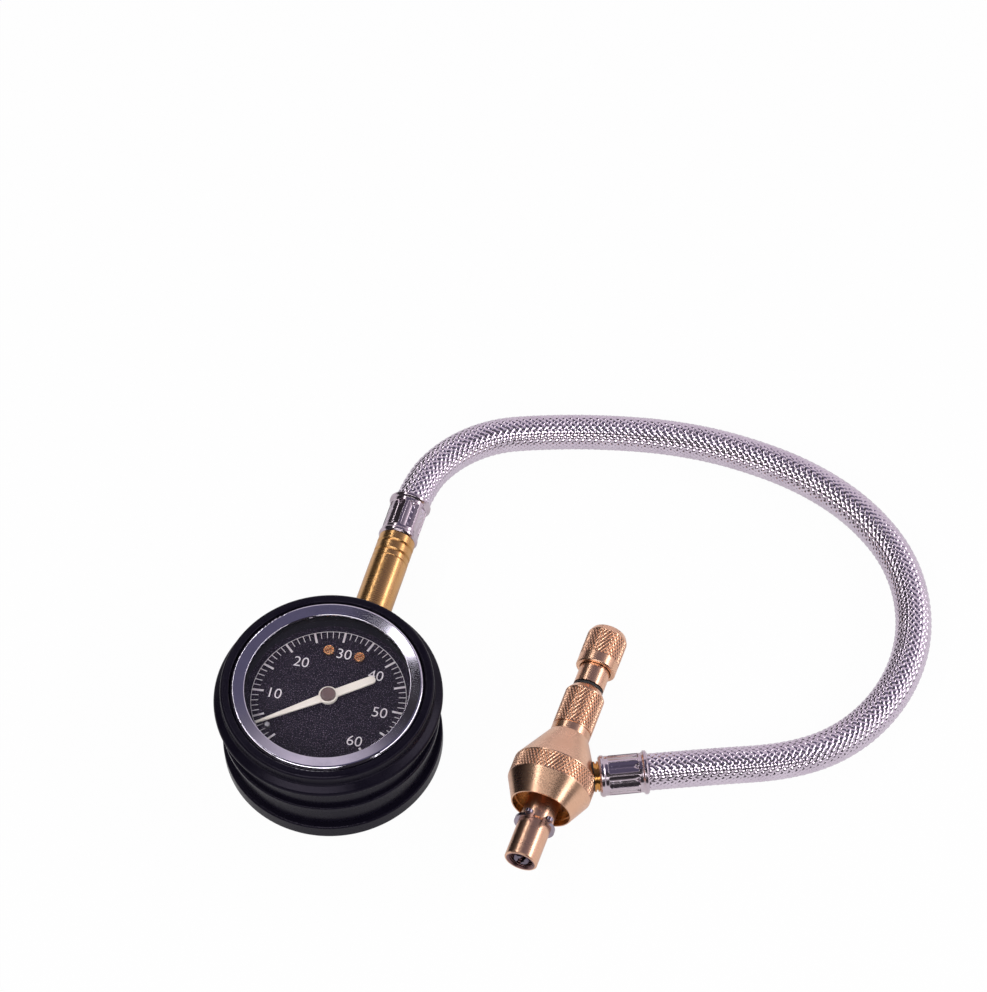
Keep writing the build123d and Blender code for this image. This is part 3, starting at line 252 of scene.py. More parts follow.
head_brass = metal("Head brass", (0.83, 0.53, 0.365), (0.74, 0.44, 0.28), 0.26, HEAD_AXIS, 0.015)
core_brass = metal("Core brass", (0.82, 0.515, 0.355), (0.70, 0.41, 0.265), 0.26, HEAD_AXIS, 0.03)
stem_brass = metal("Stem brass", (0.70, 0.41, 0.19), (0.54, 0.30, 0.10), 0.25, (0, 1, 0), 0.03)
fitting_brass = metal("Fitting brass", (0.70, 0.35, 0.10), (0.45, 0.20, 0.05), 0.16, PORT_AXIS, 0.1)
movement_brass = metal(
    "Movement brass", (0.80, 0.60, 0.26), (0.62, 0.42, 0.16), 0.3, (1, 0, 0), 0.1
)
tube_bronze = metal("Tube bronze", (0.66, 0.42, 0.22), (0.42, 0.24, 0.12), 0.3)
screw_brass = metal("Screw brass", (0.90, 0.52, 0.26), (0.70, 0.34, 0.14), 0.2, (0, 0, 1), 0.05)
steel = metal("Steel", (0.55, 0.54, 0.56), (0.36, 0.35, 0.37), 0.3)
clip_steel = metal("Clip steel", (0.42, 0.37, 0.44), (0.18, 0.15, 0.19), 0.22, HEAD_AXIS, 0.05)
tool_chrome = metal("Tool chrome", (0.18, 0.15, 0.20), (0.08, 0.06, 0.09), 0.14, HEAD_AXIS, 0.05)
ferrule_nickel = metal(
    "Ferrule nickel", (0.66, 0.58, 0.63), (0.48, 0.40, 0.45), 0.14, (0, 0, 1), 0.04, clouds=0.8
)
bezel_chrome = metal(
    "Bezel chrome", (0.70, 0.67, 0.76), (0.52, 0.51, 0.58), 0.07, (0, 0, 1), 0.0, clouds=1.4
)
braid_steel = metal("Braid steel", (0.78, 0.71, 0.79), (0.58, 0.50, 0.59), 0.2, (0, 0, 1), 0.0)
print(len(bpy.data.materials), "materials so far")

# %% [markdown]
# Three metals get a little more:
#
# - Inside the bell, where the surface faces the head's axis, a darker, yellower brass is painted
#   on: painted shade and painted reflection of the brass around it.
# - Painted shade: the core's brass is darkened wherever it lies within 4.1 mm of the axis. This is
#   meant for the shaded bore behind the tip's mouth. The core tube's thin part and the plunger rod
#   lie as near to the axis, so they carry this painted shade on the outside too, which shows when
#   they are drawn out.
# - The ferrules' stamped edges are rounded by a Bevel node, so that they catch thin lines of light.

# %%
# Painted shade and painted reflection of brass, laid on the bell's inner faces.
PAINTED_BELL_SHADE = (0.42, 0.23, 0.08, 1)
# Painted shade for the bore behind the tip's mouth.
PAINTED_BORE_SHADE = (0.20, 0.11, 0.11, 1)
CM = 100.0  # a ramp reads 0 to 1, so the distance to the axis goes in as centimetres


def tint_over(made, graph, factor, colour):
    """Lay a colour over a material's own, where the factor is 1."""
    socket = shader_of(made).inputs["Base Color"]
    graph.link(graph.mix(factor, socket.links[0].from_socket, colour), socket)


inside = Graph(head_brass.node_tree)
spot = inside.add("ShaderNodeTexCoord")
reach = inside.vector("SUBTRACT", spot.outputs["Object"], tuple(head_mouth))
swept = inside.vector("CROSS_PRODUCT", HEAD_AXIS, reach)
across = inside.vector("CROSS_PRODUCT", swept, HEAD_AXIS)
facing = inside.vector("DOT_PRODUCT", spot.outputs["Normal"], inside.vector("NORMALIZE", across))
share = inside.math("MULTIPLY_ADD", facing, 0.5, 0.5)
# Paint the darker, yellower shade on the faces of the bell that look towards its axis.
tint_over(head_brass, inside, inside.ramp(share, (0.30, (1, 1, 1)), (0.40, (0, 0, 0))), PAINTED_BELL_SHADE)

bore = Graph(core_brass.node_tree)
spot = bore.add("ShaderNodeTexCoord")
reach = bore.vector("SUBTRACT", spot.outputs["Object"], tuple(head_mouth))
out = bore.vector("LENGTH", bore.vector("CROSS_PRODUCT", reach, HEAD_AXIS))
out = bore.math("MULTIPLY", out, CM)
# Paint shade on the core's brass wherever it lies near the axis.
tint_over(core_brass, bore, bore.ramp(out, (0.41, (1, 1, 1)), (0.425, (0, 0, 0))), PAINTED_BORE_SHADE)

edges = Graph(ferrule_nickel.node_tree)
normal = shader_of(ferrule_nickel).inputs["Normal"]
turned = normal.links[0].from_socket
soft = edges.add("ShaderNodeBevel", {"Radius": 0.00022, "Normal": turned}, samples=6)
edges.link(soft.outputs[0], normal)

# %% [markdown]
# ## Rubber, dial and plastic
#
# The boot's rubber is almost black, with a weak broad sheen and a fine grain. The dial is a
# matte black with a sparkle of tiny light grains, which reads as printed enamel.


# %%
def rubber(name, colour, dust, roughness, grain=2500.0, depth=0.12):
    made, graph, shader = material(name)
    place = graph.add("ShaderNodeTexCoord").outputs["Object"]
    mask = handling_mask(graph, 1.6)
    noise = graph.add("ShaderNodeTexNoise", {"Vector": place, "Scale": grain, "Detail": 4.0})
    bump = graph.add(
        "ShaderNodeBump", {"Height": noise.outputs[0], "Strength": depth, "Distance": 0.0002}
    )
    graph.link(graph.mix(mask, (*colour, 1), (*dust, 1)), shader.inputs["Base Color"])
    graph.link(graph.math("MULTIPLY_ADD", mask, 0.15, roughness), shader.inputs["Roughness"])
    graph.link(bump.outputs[0], shader.inputs["Normal"])
    return made


boot_rubber = rubber("Boot rubber", (0.0045, 0.0036, 0.0085), (0.007, 0.006, 0.012), 0.2)
shader = shader_of(boot_rubber)
shader.inputs["Specular IOR Level"].default_value = 0.11
shader.inputs["Specular Tint"].default_value = (0.86, 0.78, 1.0, 1)
seal_rubber = rubber("Seal rubber", (0.010, 0.010, 0.010), (0.020, 0.020, 0.020), 0.45)
liner_rubber = rubber("Hose liner", (0.035, 0.028, 0.038), (0.06, 0.05, 0.065), 0.6)
wall_black = rubber("Wall black", (0.006, 0.006, 0.006), (0.010, 0.010, 0.012), 0.5, 1500.0, 0.03)
shader_of(wall_black).inputs["Specular IOR Level"].default_value = 0.1

# %% [markdown]
# The dial's grains are one fine noise, sent through a ramp that leaves most of it black.

# %%
dial_black, graph, shader = material("Dial black")
place = graph.add("ShaderNodeTexCoord").outputs["Object"]
grains = graph.add("ShaderNodeTexNoise", {"Vector": place, "Scale": 3600.0, "Detail": 1.0})
sparkle = graph.ramp(
    grains.outputs[0],
    (0.48, (0.003, 0.002, 0.004)),
    (0.61, (0.012, 0.008, 0.015)),
    (0.72, (0.19, 0.15, 0.22)),
)
graph.link(sparkle, shader.inputs["Base Color"])
shader.inputs["Roughness"].default_value = 0.55
shader.inputs["Specular IOR Level"].default_value = 0.1


def paint(name, colour, worn, roughness):
    """A thin paint: its handling mask shows as a slightly different shade."""
    made, graph, shader = material(name)
    tint = graph.mix(handling_mask(graph), (*colour, 1), (*worn, 1))
    graph.link(tint, shader.inputs["Base Color"])
    shader.inputs["Roughness"].default_value = roughness
    return made


dial_print = paint("Dial print", (0.66, 0.63, 0.66), (0.52, 0.49, 0.52), 0.5)
pointer_paint = paint("Pointer paint", (0.70, 0.66, 0.60), (0.58, 0.54, 0.48), 0.4)

cap_plastic = paint("Cap plastic", (0.20, 0.13, 0.12), (0.12, 0.08, 0.08), 0.12)
shader = shader_of(cap_plastic)
shader.inputs["Transmission Weight"].default_value = 0.35
shader.inputs["Coat Weight"].default_value = 0.5

# %% [markdown]
# The lens is real glass for the camera, with faint smudges. For shadow rays it is fully open, so
# that light reaches the dial.

# %%
lens_clear, graph, shader = material("Lens")
graph.link(graph.math("MULTIPLY", handling_mask(graph), 0.03), shader.inputs["Roughness"])
shader.inputs["Base Color"].default_value = (1, 1, 1, 1)
shader.inputs["Transmission Weight"].default_value = 1.0
shader.inputs["IOR"].default_value = 1.45
path = graph.add("ShaderNodeLightPath")
open_way = graph.add("ShaderNodeBsdfTransparent")
through = graph.add(
    "ShaderNodeMixShader",
    {0: path.outputs["Is Shadow Ray"], 1: shader.outputs[0], 2: open_way.outputs[0]},
)
output = lens_clear.node_tree.nodes["Material Output"]
graph.link(through.outputs[0], output.inputs["Surface"])
print(len(bpy.data.materials), "materials")

# %% [markdown]
# ## Dressing the solids
#
# Each CAD solid keeps its shape and gets one material.

# %%
finishes = {
    boot_rubber: ["gauge_boot"],
    steel: [
        "gauge_case", "case_screws", "pillar_screws", "plate_screws",
        "pinion_arbor", "sector_staff", "stop_pin",
    ],
    bezel_chrome: ["bezel"],
    lens_clear: ["lens"],
    seal_rubber: [
        "lens_gasket", "port_washer", "lower_sleeve_seal", "upper_sleeve_seal",
        "bumper_ring", "valve_seal", "rod_seal",
    ],
    wall_black: ["dial_ring"],
    dial_black: ["dial_plate"],
    screw_brass: ["dial_screws"],
    movement_brass: [
        "dial_posts", "back_plate", "front_plate", "plate_pillars",
        "tube_tip", "tip_link", "sector_gear", "hairspring_stud",
    ],
    tube_bronze: ["pressure_tube", "hairspring"],
    pointer_paint: ["pointer"],
    cap_plastic: ["pointer_cap"],
    stem_brass: ["socket_block", "stem_tube", "hose_fitting"],
    ferrule_nickel: ["gauge_ferrule", "head_ferrule"],
    fitting_brass: ["head_fitting"],
    head_brass: ["sleeve_bell", "sleeve_nut", "knob"],
    core_brass: ["core_tube", "neck", "plunger_rod"],
    clip_steel: ["circlip"],
    tool_chrome: ["core_tool"],
    liner_rubber: ["hose"],
}
for finish, names in finishes.items():
    for name in names:
        mesh = nodes[name].data
        mesh.materials.clear()
        mesh.materials.append(finish)
print(sum(len(names) for names in finishes.values()), "solids dressed")

# %% [markdown]
# ## From a node tree to a plain mesh
#
# The braid, the knurling and the scale are repeats, so each is a Geometry Nodes tree with named
# inputs. A tree only runs while its modifier is there. `grow` runs a tree once, keeps the mesh
# that comes out, and puts it in a fresh object. `evaluated_mesh` also serves curves and text.


# %%
def evaluated_mesh(thing):
    """The plain mesh that an object's modifiers, curve or text give."""
    depsgraph = bpy.context.evaluated_depsgraph_get()
    return bpy.data.meshes.new_from_object(thing.evaluated_get(depsgraph), depsgraph=depsgraph)


def grow(name, tree, placement=None, **values):
    """Run a Geometry Nodes tree with these inputs and return its result as a plain mesh object."""
    host = bpy.data.objects.new(name + "_host", bpy.data.meshes.new(name + "_host"))
    bpy.context.collection.objects.link(host)
    modifier = host.modifiers.new("Nodes", "NODES")
    modifier.node_group = tree
    for item in tree.interface.items_tree:
        if item.in_out == "INPUT" and item.name in values:
            modifier[item.identifier] = values[item.name]
    host.update_tag()
    mesh = evaluated_mesh(host)
    bpy.data.objects.remove(host)
    if placement is not None:
        mesh.transform(placement)
    mesh.name = name
    made = bpy.data.objects.new(name, mesh)
    bpy.context.collection.objects.link(made)
    return made


# %% [markdown]
# ## The hose's line
#
# The hose is one smooth curve through the air: out of the gauge's ferrule, down to the table,
# round in a loop and up again to the head. The points below are the control points of a NURBS
# spline of order 3, which rounds each corner and touches only the middles of the runs.

# %%
route = [
    (0.0, 66.5, 11.0),
    (0.0, 83.6, 11.0),
    (5.6, 97.6, 10.2),
    (15.8, 108.8, 8.4),
    (29.2, 115.3, 6.3),
    (46.0, 120.7, 5.3),
    (66.6, 124.4, 5.3),
    (86.5, 124.8, 5.3),
    (109.0, 121.3, 5.3),
    (128.7, 112.6, 5.3),
    (144.3, 98.2, 5.3),
    (152.8, 78.0, 5.3),
    (152.5, 57.3, 5.3),
    (144.4, 38.6, 5.4),
    (130.2, 23.8, 8.4),
    (104.1, 12.37, 12.15),
    (80.61, 3.22, 12.15),
]
route_data = bpy.data.curves.new("hose_line", "CURVE")
route_data.dimensions = "3D"
route_data.resolution_u = 24
spline = route_data.splines.new("NURBS")
spline.points.add(len(route) - 1)
for point, place in zip(spline.points, route):
    point.co = (*(Vector(place) * MM), 1)
spline.order_u = 3
spline.use_endpoint_u = True
route_line = bpy.data.objects.new("hose_line", route_data)
bpy.context.collection.objects.link(route_line)
bpy.context.view_layer.update()

hose_path = [vertex.co.copy() for vertex in evaluated_mesh(route_line).vertices]

# %% [markdown]
# ## The braid
#
# A braided hose carries two sets of flat strands, one wound each way. Each strand goes over one
# strand of the other set and then under the next, and that gives the pattern of bright and dark
# diamonds that runs along the hose.
#
# The tree starts with one flat grid per strand and bends it by formula:
#
# - **Along** the hose, `s` runs from 0 to the hose's length.
# - **Round** the hose, the angle grows by one turn per `Lead`, clockwise or anticlockwise by
#   `Sense`, and starts at the strand's own place.
# - **Outwards**, a cosine lifts the strand over one crossing and sinks it under the next.
#   A strand meets `2 * Strands` others per turn, so the crossing number is
#   `2 * Strands * s / Lead`.
#
# First come the flat grids, five points across each, with every strand's number stored on it.

# %%
OBJECT, INTEGER, GEOMETRY, MATERIAL = (
    "NodeSocketObject",
    "NodeSocketInt",
    "NodeSocketGeometry",
    "NodeSocketMaterial",
)
braid, start, end = group_graph(
    "Braid",
    "GeometryNodeTree",
    [
        ("Route", OBJECT, None),
        ("Strands", INTEGER, 14),
        ("Rows", INTEGER, 900),
        ("Sense", FLOAT, 1.0),
        ("Lead", FLOAT, 0.0285),
        ("Radius", FLOAT, 0.00492),
        ("Width", FLOAT, 0.00136),
        ("Lift", FLOAT, 0.00013),
        ("Arch", FLOAT, 0.0002),
        ("Finish", MATERIAL, None),
    ],
    [("Geometry", GEOMETRY)],
)
given = start.outputs
curve = braid.add("GeometryNodeObjectInfo", {"Object": given["Route"]}).outputs["Geometry"]
length = braid.add("GeometryNodeCurveLength", {0: curve}).outputs[0]
strip = braid.add(
    "GeometryNodeMeshGrid",
    {"Size X": 1.0, "Size Y": 1.0, "Vertices X": given["Rows"], "Vertices Y": 5},
)
seeds = braid.add("GeometryNodeMeshLine", {"Count": given["Strands"], "Offset": (0, 0, 0)})
strips = braid.add(
    "GeometryNodeInstanceOnPoints", {"Points": seeds.outputs[0], "Instance": strip.outputs[0]}
)
order = braid.add("GeometryNodeInputIndex").outputs[0]
numbered = braid.add(
    "GeometryNodeStoreNamedAttribute",
    {"Geometry": strips.outputs[0], "Name": "strand", "Value": order},
    data_type="FLOAT",
    domain="INSTANCE",
)
real = braid.add("GeometryNodeRealizeInstances", {0: numbered.outputs[0]}).outputs[0]

# %% [markdown]
# Next, each point's distance along the hose and its angle round it. `offset` is how far the point
# lies from its strand's middle line, and the strand's slope shares that between the two.

# %%
flat = braid.add("ShaderNodeSeparateXYZ", {0: braid.add("GeometryNodeInputPosition").outputs[0]})
named = braid.add("GeometryNodeInputNamedAttribute", {"Name": "strand"}, data_type="FLOAT")
strand = named.outputs["Attribute"]
centre = braid.math("MULTIPLY", braid.math("ADD", flat.outputs[0], 0.5), length)
across = flat.outputs[1]
offset = braid.math("MULTIPLY", across, given["Width"])
slope = braid.math("ARCTAN2", braid.math("MULTIPLY", given["Radius"], 2 * pi), given["Lead"])
turns = braid.math("DIVIDE", centre, given["Lead"])
crossing = braid.math("MULTIPLY", braid.math("MULTIPLY", given["Strands"], 2.0), turns)

slip = braid.math("MULTIPLY", offset, braid.math("SINE", slope))
slipped = braid.math("MULTIPLY", slip, given["Sense"])
along = braid.clamp(braid.math("SUBTRACT", centre, slipped), 0.0, length)
own_place = braid.math("DIVIDE", strand, given["Strands"])
whole_turns = braid.math("MULTIPLY_ADD", turns, given["Sense"], own_place)
wound = braid.math("MULTIPLY", offset, braid.math("COSINE", slope))
swing = braid.math("DIVIDE", wound, given["Radius"])
angle = braid.math("MULTIPLY_ADD", whole_turns, 2 * pi, swing)

# %% [markdown]
# Then the height. One wave serves both sets, and `Sense` turns it over for the second, so that one
# is up where the other is down. Cutting the wave's tops off keeps a strand level on each crossing.
# `crown` is 1 on the strand's middle line and 0 at its edges, which arches it a little.

# %%
FLAT_TOPS = 1.4
wave = braid.math("COSINE", braid.math("MULTIPLY", crossing, pi))
firm = braid.clamp(braid.math("MULTIPLY", wave, FLAT_TOPS), -1.0, 1.0)
lifted = braid.math("MULTIPLY", braid.math("MULTIPLY", firm, given["Sense"]), given["Lift"])
edge = braid.math("ABSOLUTE", braid.math("MULTIPLY", across, 2.0))
crown = braid.math("SUBTRACT", 1.0, braid.math("POWER", edge, 2.0))
arched = braid.math("MULTIPLY_ADD", crown, given["Arch"], lifted)
reach = braid.math("ADD", arched, given["Radius"])

# %% [markdown]
# Sampling the hose's line gives a point, a tangent and a normal, and the angle turns the normal
# about the tangent. The tree is run once for each set of strands.

# %%
sample = braid.add("GeometryNodeSampleCurve", {"Curves": curve, "Length": along}, mode="LENGTH")
tangent = sample.outputs["Tangent"]
normal = sample.outputs["Normal"]
binormal = braid.vector("CROSS_PRODUCT", tangent, normal)
outwards = braid.vector(
    "ADD",
    braid.scale(normal, braid.math("COSINE", angle)),
    braid.scale(binormal, braid.math("SINE", angle)),
)
target = braid.vector("ADD", sample.outputs["Position"], braid.scale(outwards, reach))
bent = braid.add("GeometryNodeSetPosition", {"Geometry": real, "Position": target})
smooth = braid.add("GeometryNodeSetShadeSmooth", {0: bent.outputs[0]})
finished = braid.add(
    "GeometryNodeSetMaterial", {"Geometry": smooth.outputs[0], "Material": given["Finish"]}
)
braid.link(finished.outputs[0], end.inputs[0])

braid_right = grow("hose_braid_right", braid.tree, Route=route_line, Sense=1.0, Finish=braid_steel)
braid_left = grow("hose_braid_left", braid.tree, Route=route_line, Sense=-1.0, Finish=braid_steel)
print("braid", len(braid_right.data.polygons), "faces each way")

# %% [markdown]
# Under the braid lies the rubber hose itself. It only shows as darkness between the strands.

# %%
route_data.bevel_depth = 4.72 * MM
route_data.bevel_resolution = 8
bpy.context.view_layer.update()
hose_liner = bpy.data.objects.new("hose_liner", evaluated_mesh(route_line))
bpy.context.collection.objects.link(hose_liner)
hose_liner.data.materials.append(liner_rubber)
hose_liner.data.shade_smooth()
bpy.data.objects.remove(route_line)

for piece in (braid_right, braid_left, hose_liner):
    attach(piece, "gauge_and_sleeve")
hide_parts("hose")

# %% [markdown]
# ## Knurling
#
# Knurling is a crossed pattern of pyramids, pressed in by two toothed wheels. One set of grooves
# climbs to the right and the other to the left, each about 30 degrees off the axis. `first` and
# `second` count the grooves of the two sets, and the nearer groove of either set decides the
# height.
#
# The grid is sheared, so that its columns run along the first set of grooves and its diagonals
# along the second. Both sets then stay sharp on few faces.

# %%
knurl, start, end = group_graph(
    "Knurl",
    "GeometryNodeTree",
    [
        ("Radius", FLOAT, 0.0055),
        ("Depth", FLOAT, 0.00025),
        ("Length", FLOAT, 0.01),
        ("Around", INTEGER, 34),
        ("Rows", INTEGER, 98),
        ("Steps", INTEGER, 8),
        ("Finish", MATERIAL, None),
    ],
    [("Geometry", GEOMETRY)],
)
given = start.outputs
sheet = knurl.add(
    "GeometryNodeMeshGrid",
    {
        "Size X": 1.0,
        "Size Y": 1.0,
        "Vertices X": knurl.math("MULTIPLY_ADD", given["Around"], given["Steps"], 1.0),
        "Vertices Y": knurl.math("ADD", given["Rows"], 1.0),
    },
)
cut = knurl.add("GeometryNodeTriangulate", {0: sheet.outputs[0]}, quad_method="FIXED")
flat = knurl.add("ShaderNodeSeparateXYZ", {0: knurl.add("GeometryNodeInputPosition").outputs[0]})
x_share = knurl.math("ADD", flat.outputs[0], 0.5)
y_share = knurl.math("ADD", flat.outputs[1], 0.5)
first = knurl.math("MULTIPLY", x_share, given["Around"])
climb = knurl.math("MULTIPLY", y_share, knurl.math("DIVIDE", given["Rows"], given["Steps"]))
second = knurl.math("SUBTRACT", first, climb)
turned = knurl.math("DIVIDE", knurl.math("MULTIPLY_ADD", climb, -0.5, first), given["Around"])


def groove(value):
    """1 at a groove and 0 halfway between two grooves."""
    share = knurl.math("FRACT", knurl.math("ADD", value, 100.0))
    return knurl.math("MULTIPLY", knurl.math("ABSOLUTE", knurl.math("SUBTRACT", share, 0.5)), 2.0)


nearer = knurl.math("MAXIMUM", groove(first), groove(second))
flank = knurl.math("MULTIPLY", knurl.math("SUBTRACT", 1.0, nearer), 2.0)
height = knurl.math("MINIMUM", flank, 1.0)
reach = knurl.math("MULTIPLY_ADD", height, given["Depth"], given["Radius"])
angle = knurl.math("MULTIPLY", turned, 2 * pi)
rolled = knurl.add(
    "ShaderNodeCombineXYZ",
    {
        0: knurl.math("MULTIPLY", reach, knurl.math("COSINE", angle)),
        1: knurl.math("MULTIPLY", reach, knurl.math("SINE", angle)),
        2: knurl.math("MULTIPLY", y_share, given["Length"]),
    },
)
tube = knurl.add(
    "GeometryNodeSetPosition", {"Geometry": cut.outputs[0], "Position": rolled.outputs[0]}
)
joined = knurl.add(
    "GeometryNodeMergeByDistance", {"Geometry": tube.outputs[0], "Distance": 0.000001}
)
finished = knurl.add(
    "GeometryNodeSetMaterial", {"Geometry": joined.outputs[0], "Material": given["Finish"]}
)
knurl.link(finished.outputs[0], end.inputs[0])

# %% [markdown]
# Three bands use it: the bell, the nut and the knob. The solids have a shallow recess in each
# place, which the band fills up to the full radius. The wheels leave a flat top on each pyramid,
# and the grooves between them are 0.2 mm deep. The diamonds are about 1.06 mm round and 1.82 mm
# along on all three, as one pair of wheels would make them.
#
# Each row of the table gives the band's start, length and outer radius in millimetres, then the
# grooves of each set round it, the rows of the grid, the body it rides on and its slot.

# %%
GROOVE = 0.2
BELOW_SURFACE = 0.175
bands = {
    "bell_knurl": (24.52, 5.16, 12.15, 71, 45, "gauge_and_sleeve", "head_brass"),
    "nut_knurl": (44.52, 11.16, 5.75, 34, 98, "gauge_and_sleeve", "head_brass"),
    "knob_knurl": (68.23, 7.65, 5.85, 35, 67, "rod", "knob_brass"),
}
for name, (station, reach, radius, around, rows, body, slot) in bands.items():
    band = grow(
        name,
        knurl.tree,
        along_head(station * MM),
        Radius=(radius - BELOW_SURFACE) * MM,
        Depth=GROOVE * MM,
        Length=reach * MM,
        Around=around,
        Rows=rows,
        Finish=head_brass,
    )
    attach(band, body)
    print(name, len(band.data.polygons), "faces")

# %% [markdown]
# ## The dial's scale
#
# The scale runs from 0 to 60. It turns clockwise from the lower left, and 30 stands near the
# stem. Each tick is a thin bar, placed by instancing one box on points round an arc. Long, thick
# ticks mark every fifth value, and short, thin ones stand between them.

# %%
STEP = radians(4.65)  # turn per unit of the scale
TOP = radians(94.5)  # bearing of the scale's middle
MIDDLE = 30
SCALE_RADIUS = 21.9 * MM
ticks, start, end = group_graph(
    "Ticks",
    "GeometryNodeTree",
    [
        ("First", FLOAT, 0.0),
        ("Last", FLOAT, 60.0),
        ("Count", INTEGER, 13),
        ("Outer", FLOAT, SCALE_RADIUS),
        ("Length", FLOAT, 0.0033),
        ("Width", FLOAT, 0.0006),
        ("Thickness", FLOAT, 0.00003),
        ("Finish", MATERIAL, None),
    ],
    [("Geometry", GEOMETRY)],
)
given = start.outputs
seeds = ticks.add("GeometryNodeMeshLine", {"Count": given["Count"], "Offset": (0, 0, 0)})
number = ticks.add("GeometryNodeInputIndex").outputs[0]
gap = ticks.math(
    "DIVIDE",
    ticks.math("SUBTRACT", given["Last"], given["First"]),
    ticks.math("SUBTRACT", given["Count"], 1.0),
)
value = ticks.math("MULTIPLY_ADD", number, gap, given["First"])
bearing = ticks.math("MULTIPLY_ADD", ticks.math("SUBTRACT", MIDDLE, value), STEP, TOP)
middle = ticks.math("MULTIPLY_ADD", given["Length"], -0.5, given["Outer"])
spot = ticks.add(
    "ShaderNodeCombineXYZ",
    {
        0: ticks.math("MULTIPLY", middle, ticks.math("COSINE", bearing)),
        1: ticks.math("MULTIPLY", middle, ticks.math("SINE", bearing)),
    },
)
spread = ticks.add(
    "GeometryNodeSetPosition", {"Geometry": seeds.outputs[0], "Position": spot.outputs[0]}
)
size = ticks.add(
    "ShaderNodeCombineXYZ", {0: given["Length"], 1: given["Width"], 2: given["Thickness"]}
)
bar = ticks.add("GeometryNodeMeshCube", {"Size": size.outputs[0]})
turn = ticks.add("ShaderNodeCombineXYZ", {2: bearing})
placed = ticks.add(
    "GeometryNodeInstanceOnPoints",
    {"Points": spread.outputs[0], "Instance": bar.outputs[0], "Rotation": turn.outputs[0]},
)
real = ticks.add("GeometryNodeRealizeInstances", {0: placed.outputs[0]})
finished = ticks.add(
    "GeometryNodeSetMaterial", {"Geometry": real.outputs[0], "Material": given["Finish"]}
)
ticks.link(finished.outputs[0], end.inputs[0])

# %% [markdown]
# The tree runs twice: 13 long ticks with its own values, and 61 short ones. The long ticks cover
# the short ones at the fifth values.

# %%
on_dial = Matrix.Translation((0, 0, DIAL_FACE + 0.02 * MM))
long_ticks = grow("long_ticks", ticks.tree, on_dial, Finish=dial_print)
short_ticks = grow(
    "short_ticks", ticks.tree, on_dial, Count=61, Length=2.1 * MM, Width=0.2 * MM, Finish=dial_print
)
print("ticks", len(long_ticks.data.polygons) // 6, "long and", len(short_ticks.data.polygons) // 6)

# %% [markdown]
# A thin arc joins the ticks' outer ends. The numbers are text, turned into flat meshes so that
# they stay with the dial.


# %%
def keep_mesh(thing, name, finish):
    """Turn a curve or a text into a plain mesh object with one material."""
    bpy.context.collection.objects.link(thing)
    bpy.context.view_layer.update()
    mesh = evaluated_mesh(thing)
    mesh.transform(thing.matrix_world)
    bpy.data.objects.remove(thing)
    mesh.materials.clear()
    mesh.materials.append(finish)
    made = bpy.data.objects.new(name, mesh)
    bpy.context.collection.objects.link(made)
    return made


arc_data = bpy.data.curves.new("scale_arc", "CURVE")
arc_data.dimensions = "3D"
arc_data.bevel_depth = 0.07 * MM
arc = arc_data.splines.new("POLY")
arc.points.add(120)
for index, point in enumerate(arc.points):
    bearing = TOP + (MIDDLE - index * 0.5) * STEP
    point.co = (SCALE_RADIUS * cos(bearing), SCALE_RADIUS * sin(bearing), 0, 1)
arc_thing = bpy.data.objects.new("scale_arc", arc_data)
arc_thing.location = (0, 0, DIAL_FACE)
scale_arc = keep_mesh(arc_thing, "scale_arc", dial_print)

numbers = {
    "10": (-15.3, -2.6),
    "20": (-11.0, 9.2),
    "30": (-0.1, 14.8),
    "40": (10.7, 10.4),
    "50": (15.3, -0.9),
    "60": (11.2, -11.55),
}
print_pieces = [long_ticks, short_ticks, scale_arc]
for words, (x, y) in numbers.items():
    text = bpy.data.curves.new("number_" + words, "FONT")
    text.body = words
    text.size = 4.6 * MM
    text.align_x = "CENTER"
    text.align_y = "CENTER"
    text.extrude = 0.015 * MM
    text.offset = -0.04 * MM
    number = bpy.data.objects.new("number_" + words, text)
    number.location = (x * MM, y * MM, DIAL_FACE + 0.02 * MM)
    number.rotation_euler = (0, 0, TOP - pi / 2)
    print_pieces.append(keep_mesh(number, "number_" + words, dial_print))
for piece in print_pieces:
    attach(piece, "gauge_and_sleeve")

# %% [markdown]
# The two screws by the number 30 each carry a thin ring on the head, which gives the bright circle
# that shows in the photograph.

# %%
for index, x in enumerate((-4.55, 4.55)):
    bpy.ops.mesh.primitive_torus_add(
        major_radius=1.3 * MM,
        minor_radius=0.22 * MM,
        major_segments=40,
        minor_segments=10,
        location=(x * MM, 14.85 * MM, DIAL_FACE + 0.78 * MM),
    )
    rim = bpy.context.object
    rim.name = f"screw_rim_{index + 1}"
    bpy.ops.object.transform_apply(location=True)
    rim.data.materials.append(screw_brass)
    rim.data.shade_smooth()
    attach(rim, "gauge_and_sleeve")

# %% [markdown]
# ## The threaded tip
#
# Inside the open tip runs the thread that grips a tyre valve. A helix of small ridges stands in
# the smooth bore of the solid.

# %%
thread_data = bpy.data.curves.new("tip_thread", "CURVE")
thread_data.dimensions = "3D"
thread_data.bevel_depth = 0.19 * MM
thread_data.bevel_resolution = 2
thread = thread_data.splines.new("POLY")
TURNS, PITCH, PER_TURN = 10, 0.79, 40
RIDGE_RADIUS, FIRST_RIDGE = 3.44, 0.6
thread.points.add(TURNS * PER_TURN)
for index, point in enumerate(thread.points):
    turn = index / PER_TURN
    sideways = RIDGE_RADIUS * MM * cos(2 * pi * turn)
    upwards = RIDGE_RADIUS * MM * sin(2 * pi * turn)
    point.co = (sideways, upwards, (FIRST_RIDGE + turn * PITCH) * MM, 1)
thread_thing = bpy.data.objects.new("tip_thread", thread_data)
thread_thing.matrix_world = along_head(0)
# The thread takes the core's brass, so the painted bore shade darkens it too.
tip_thread = keep_mesh(thread_thing, "tip_thread", core_brass)
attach(tip_thread, "core")

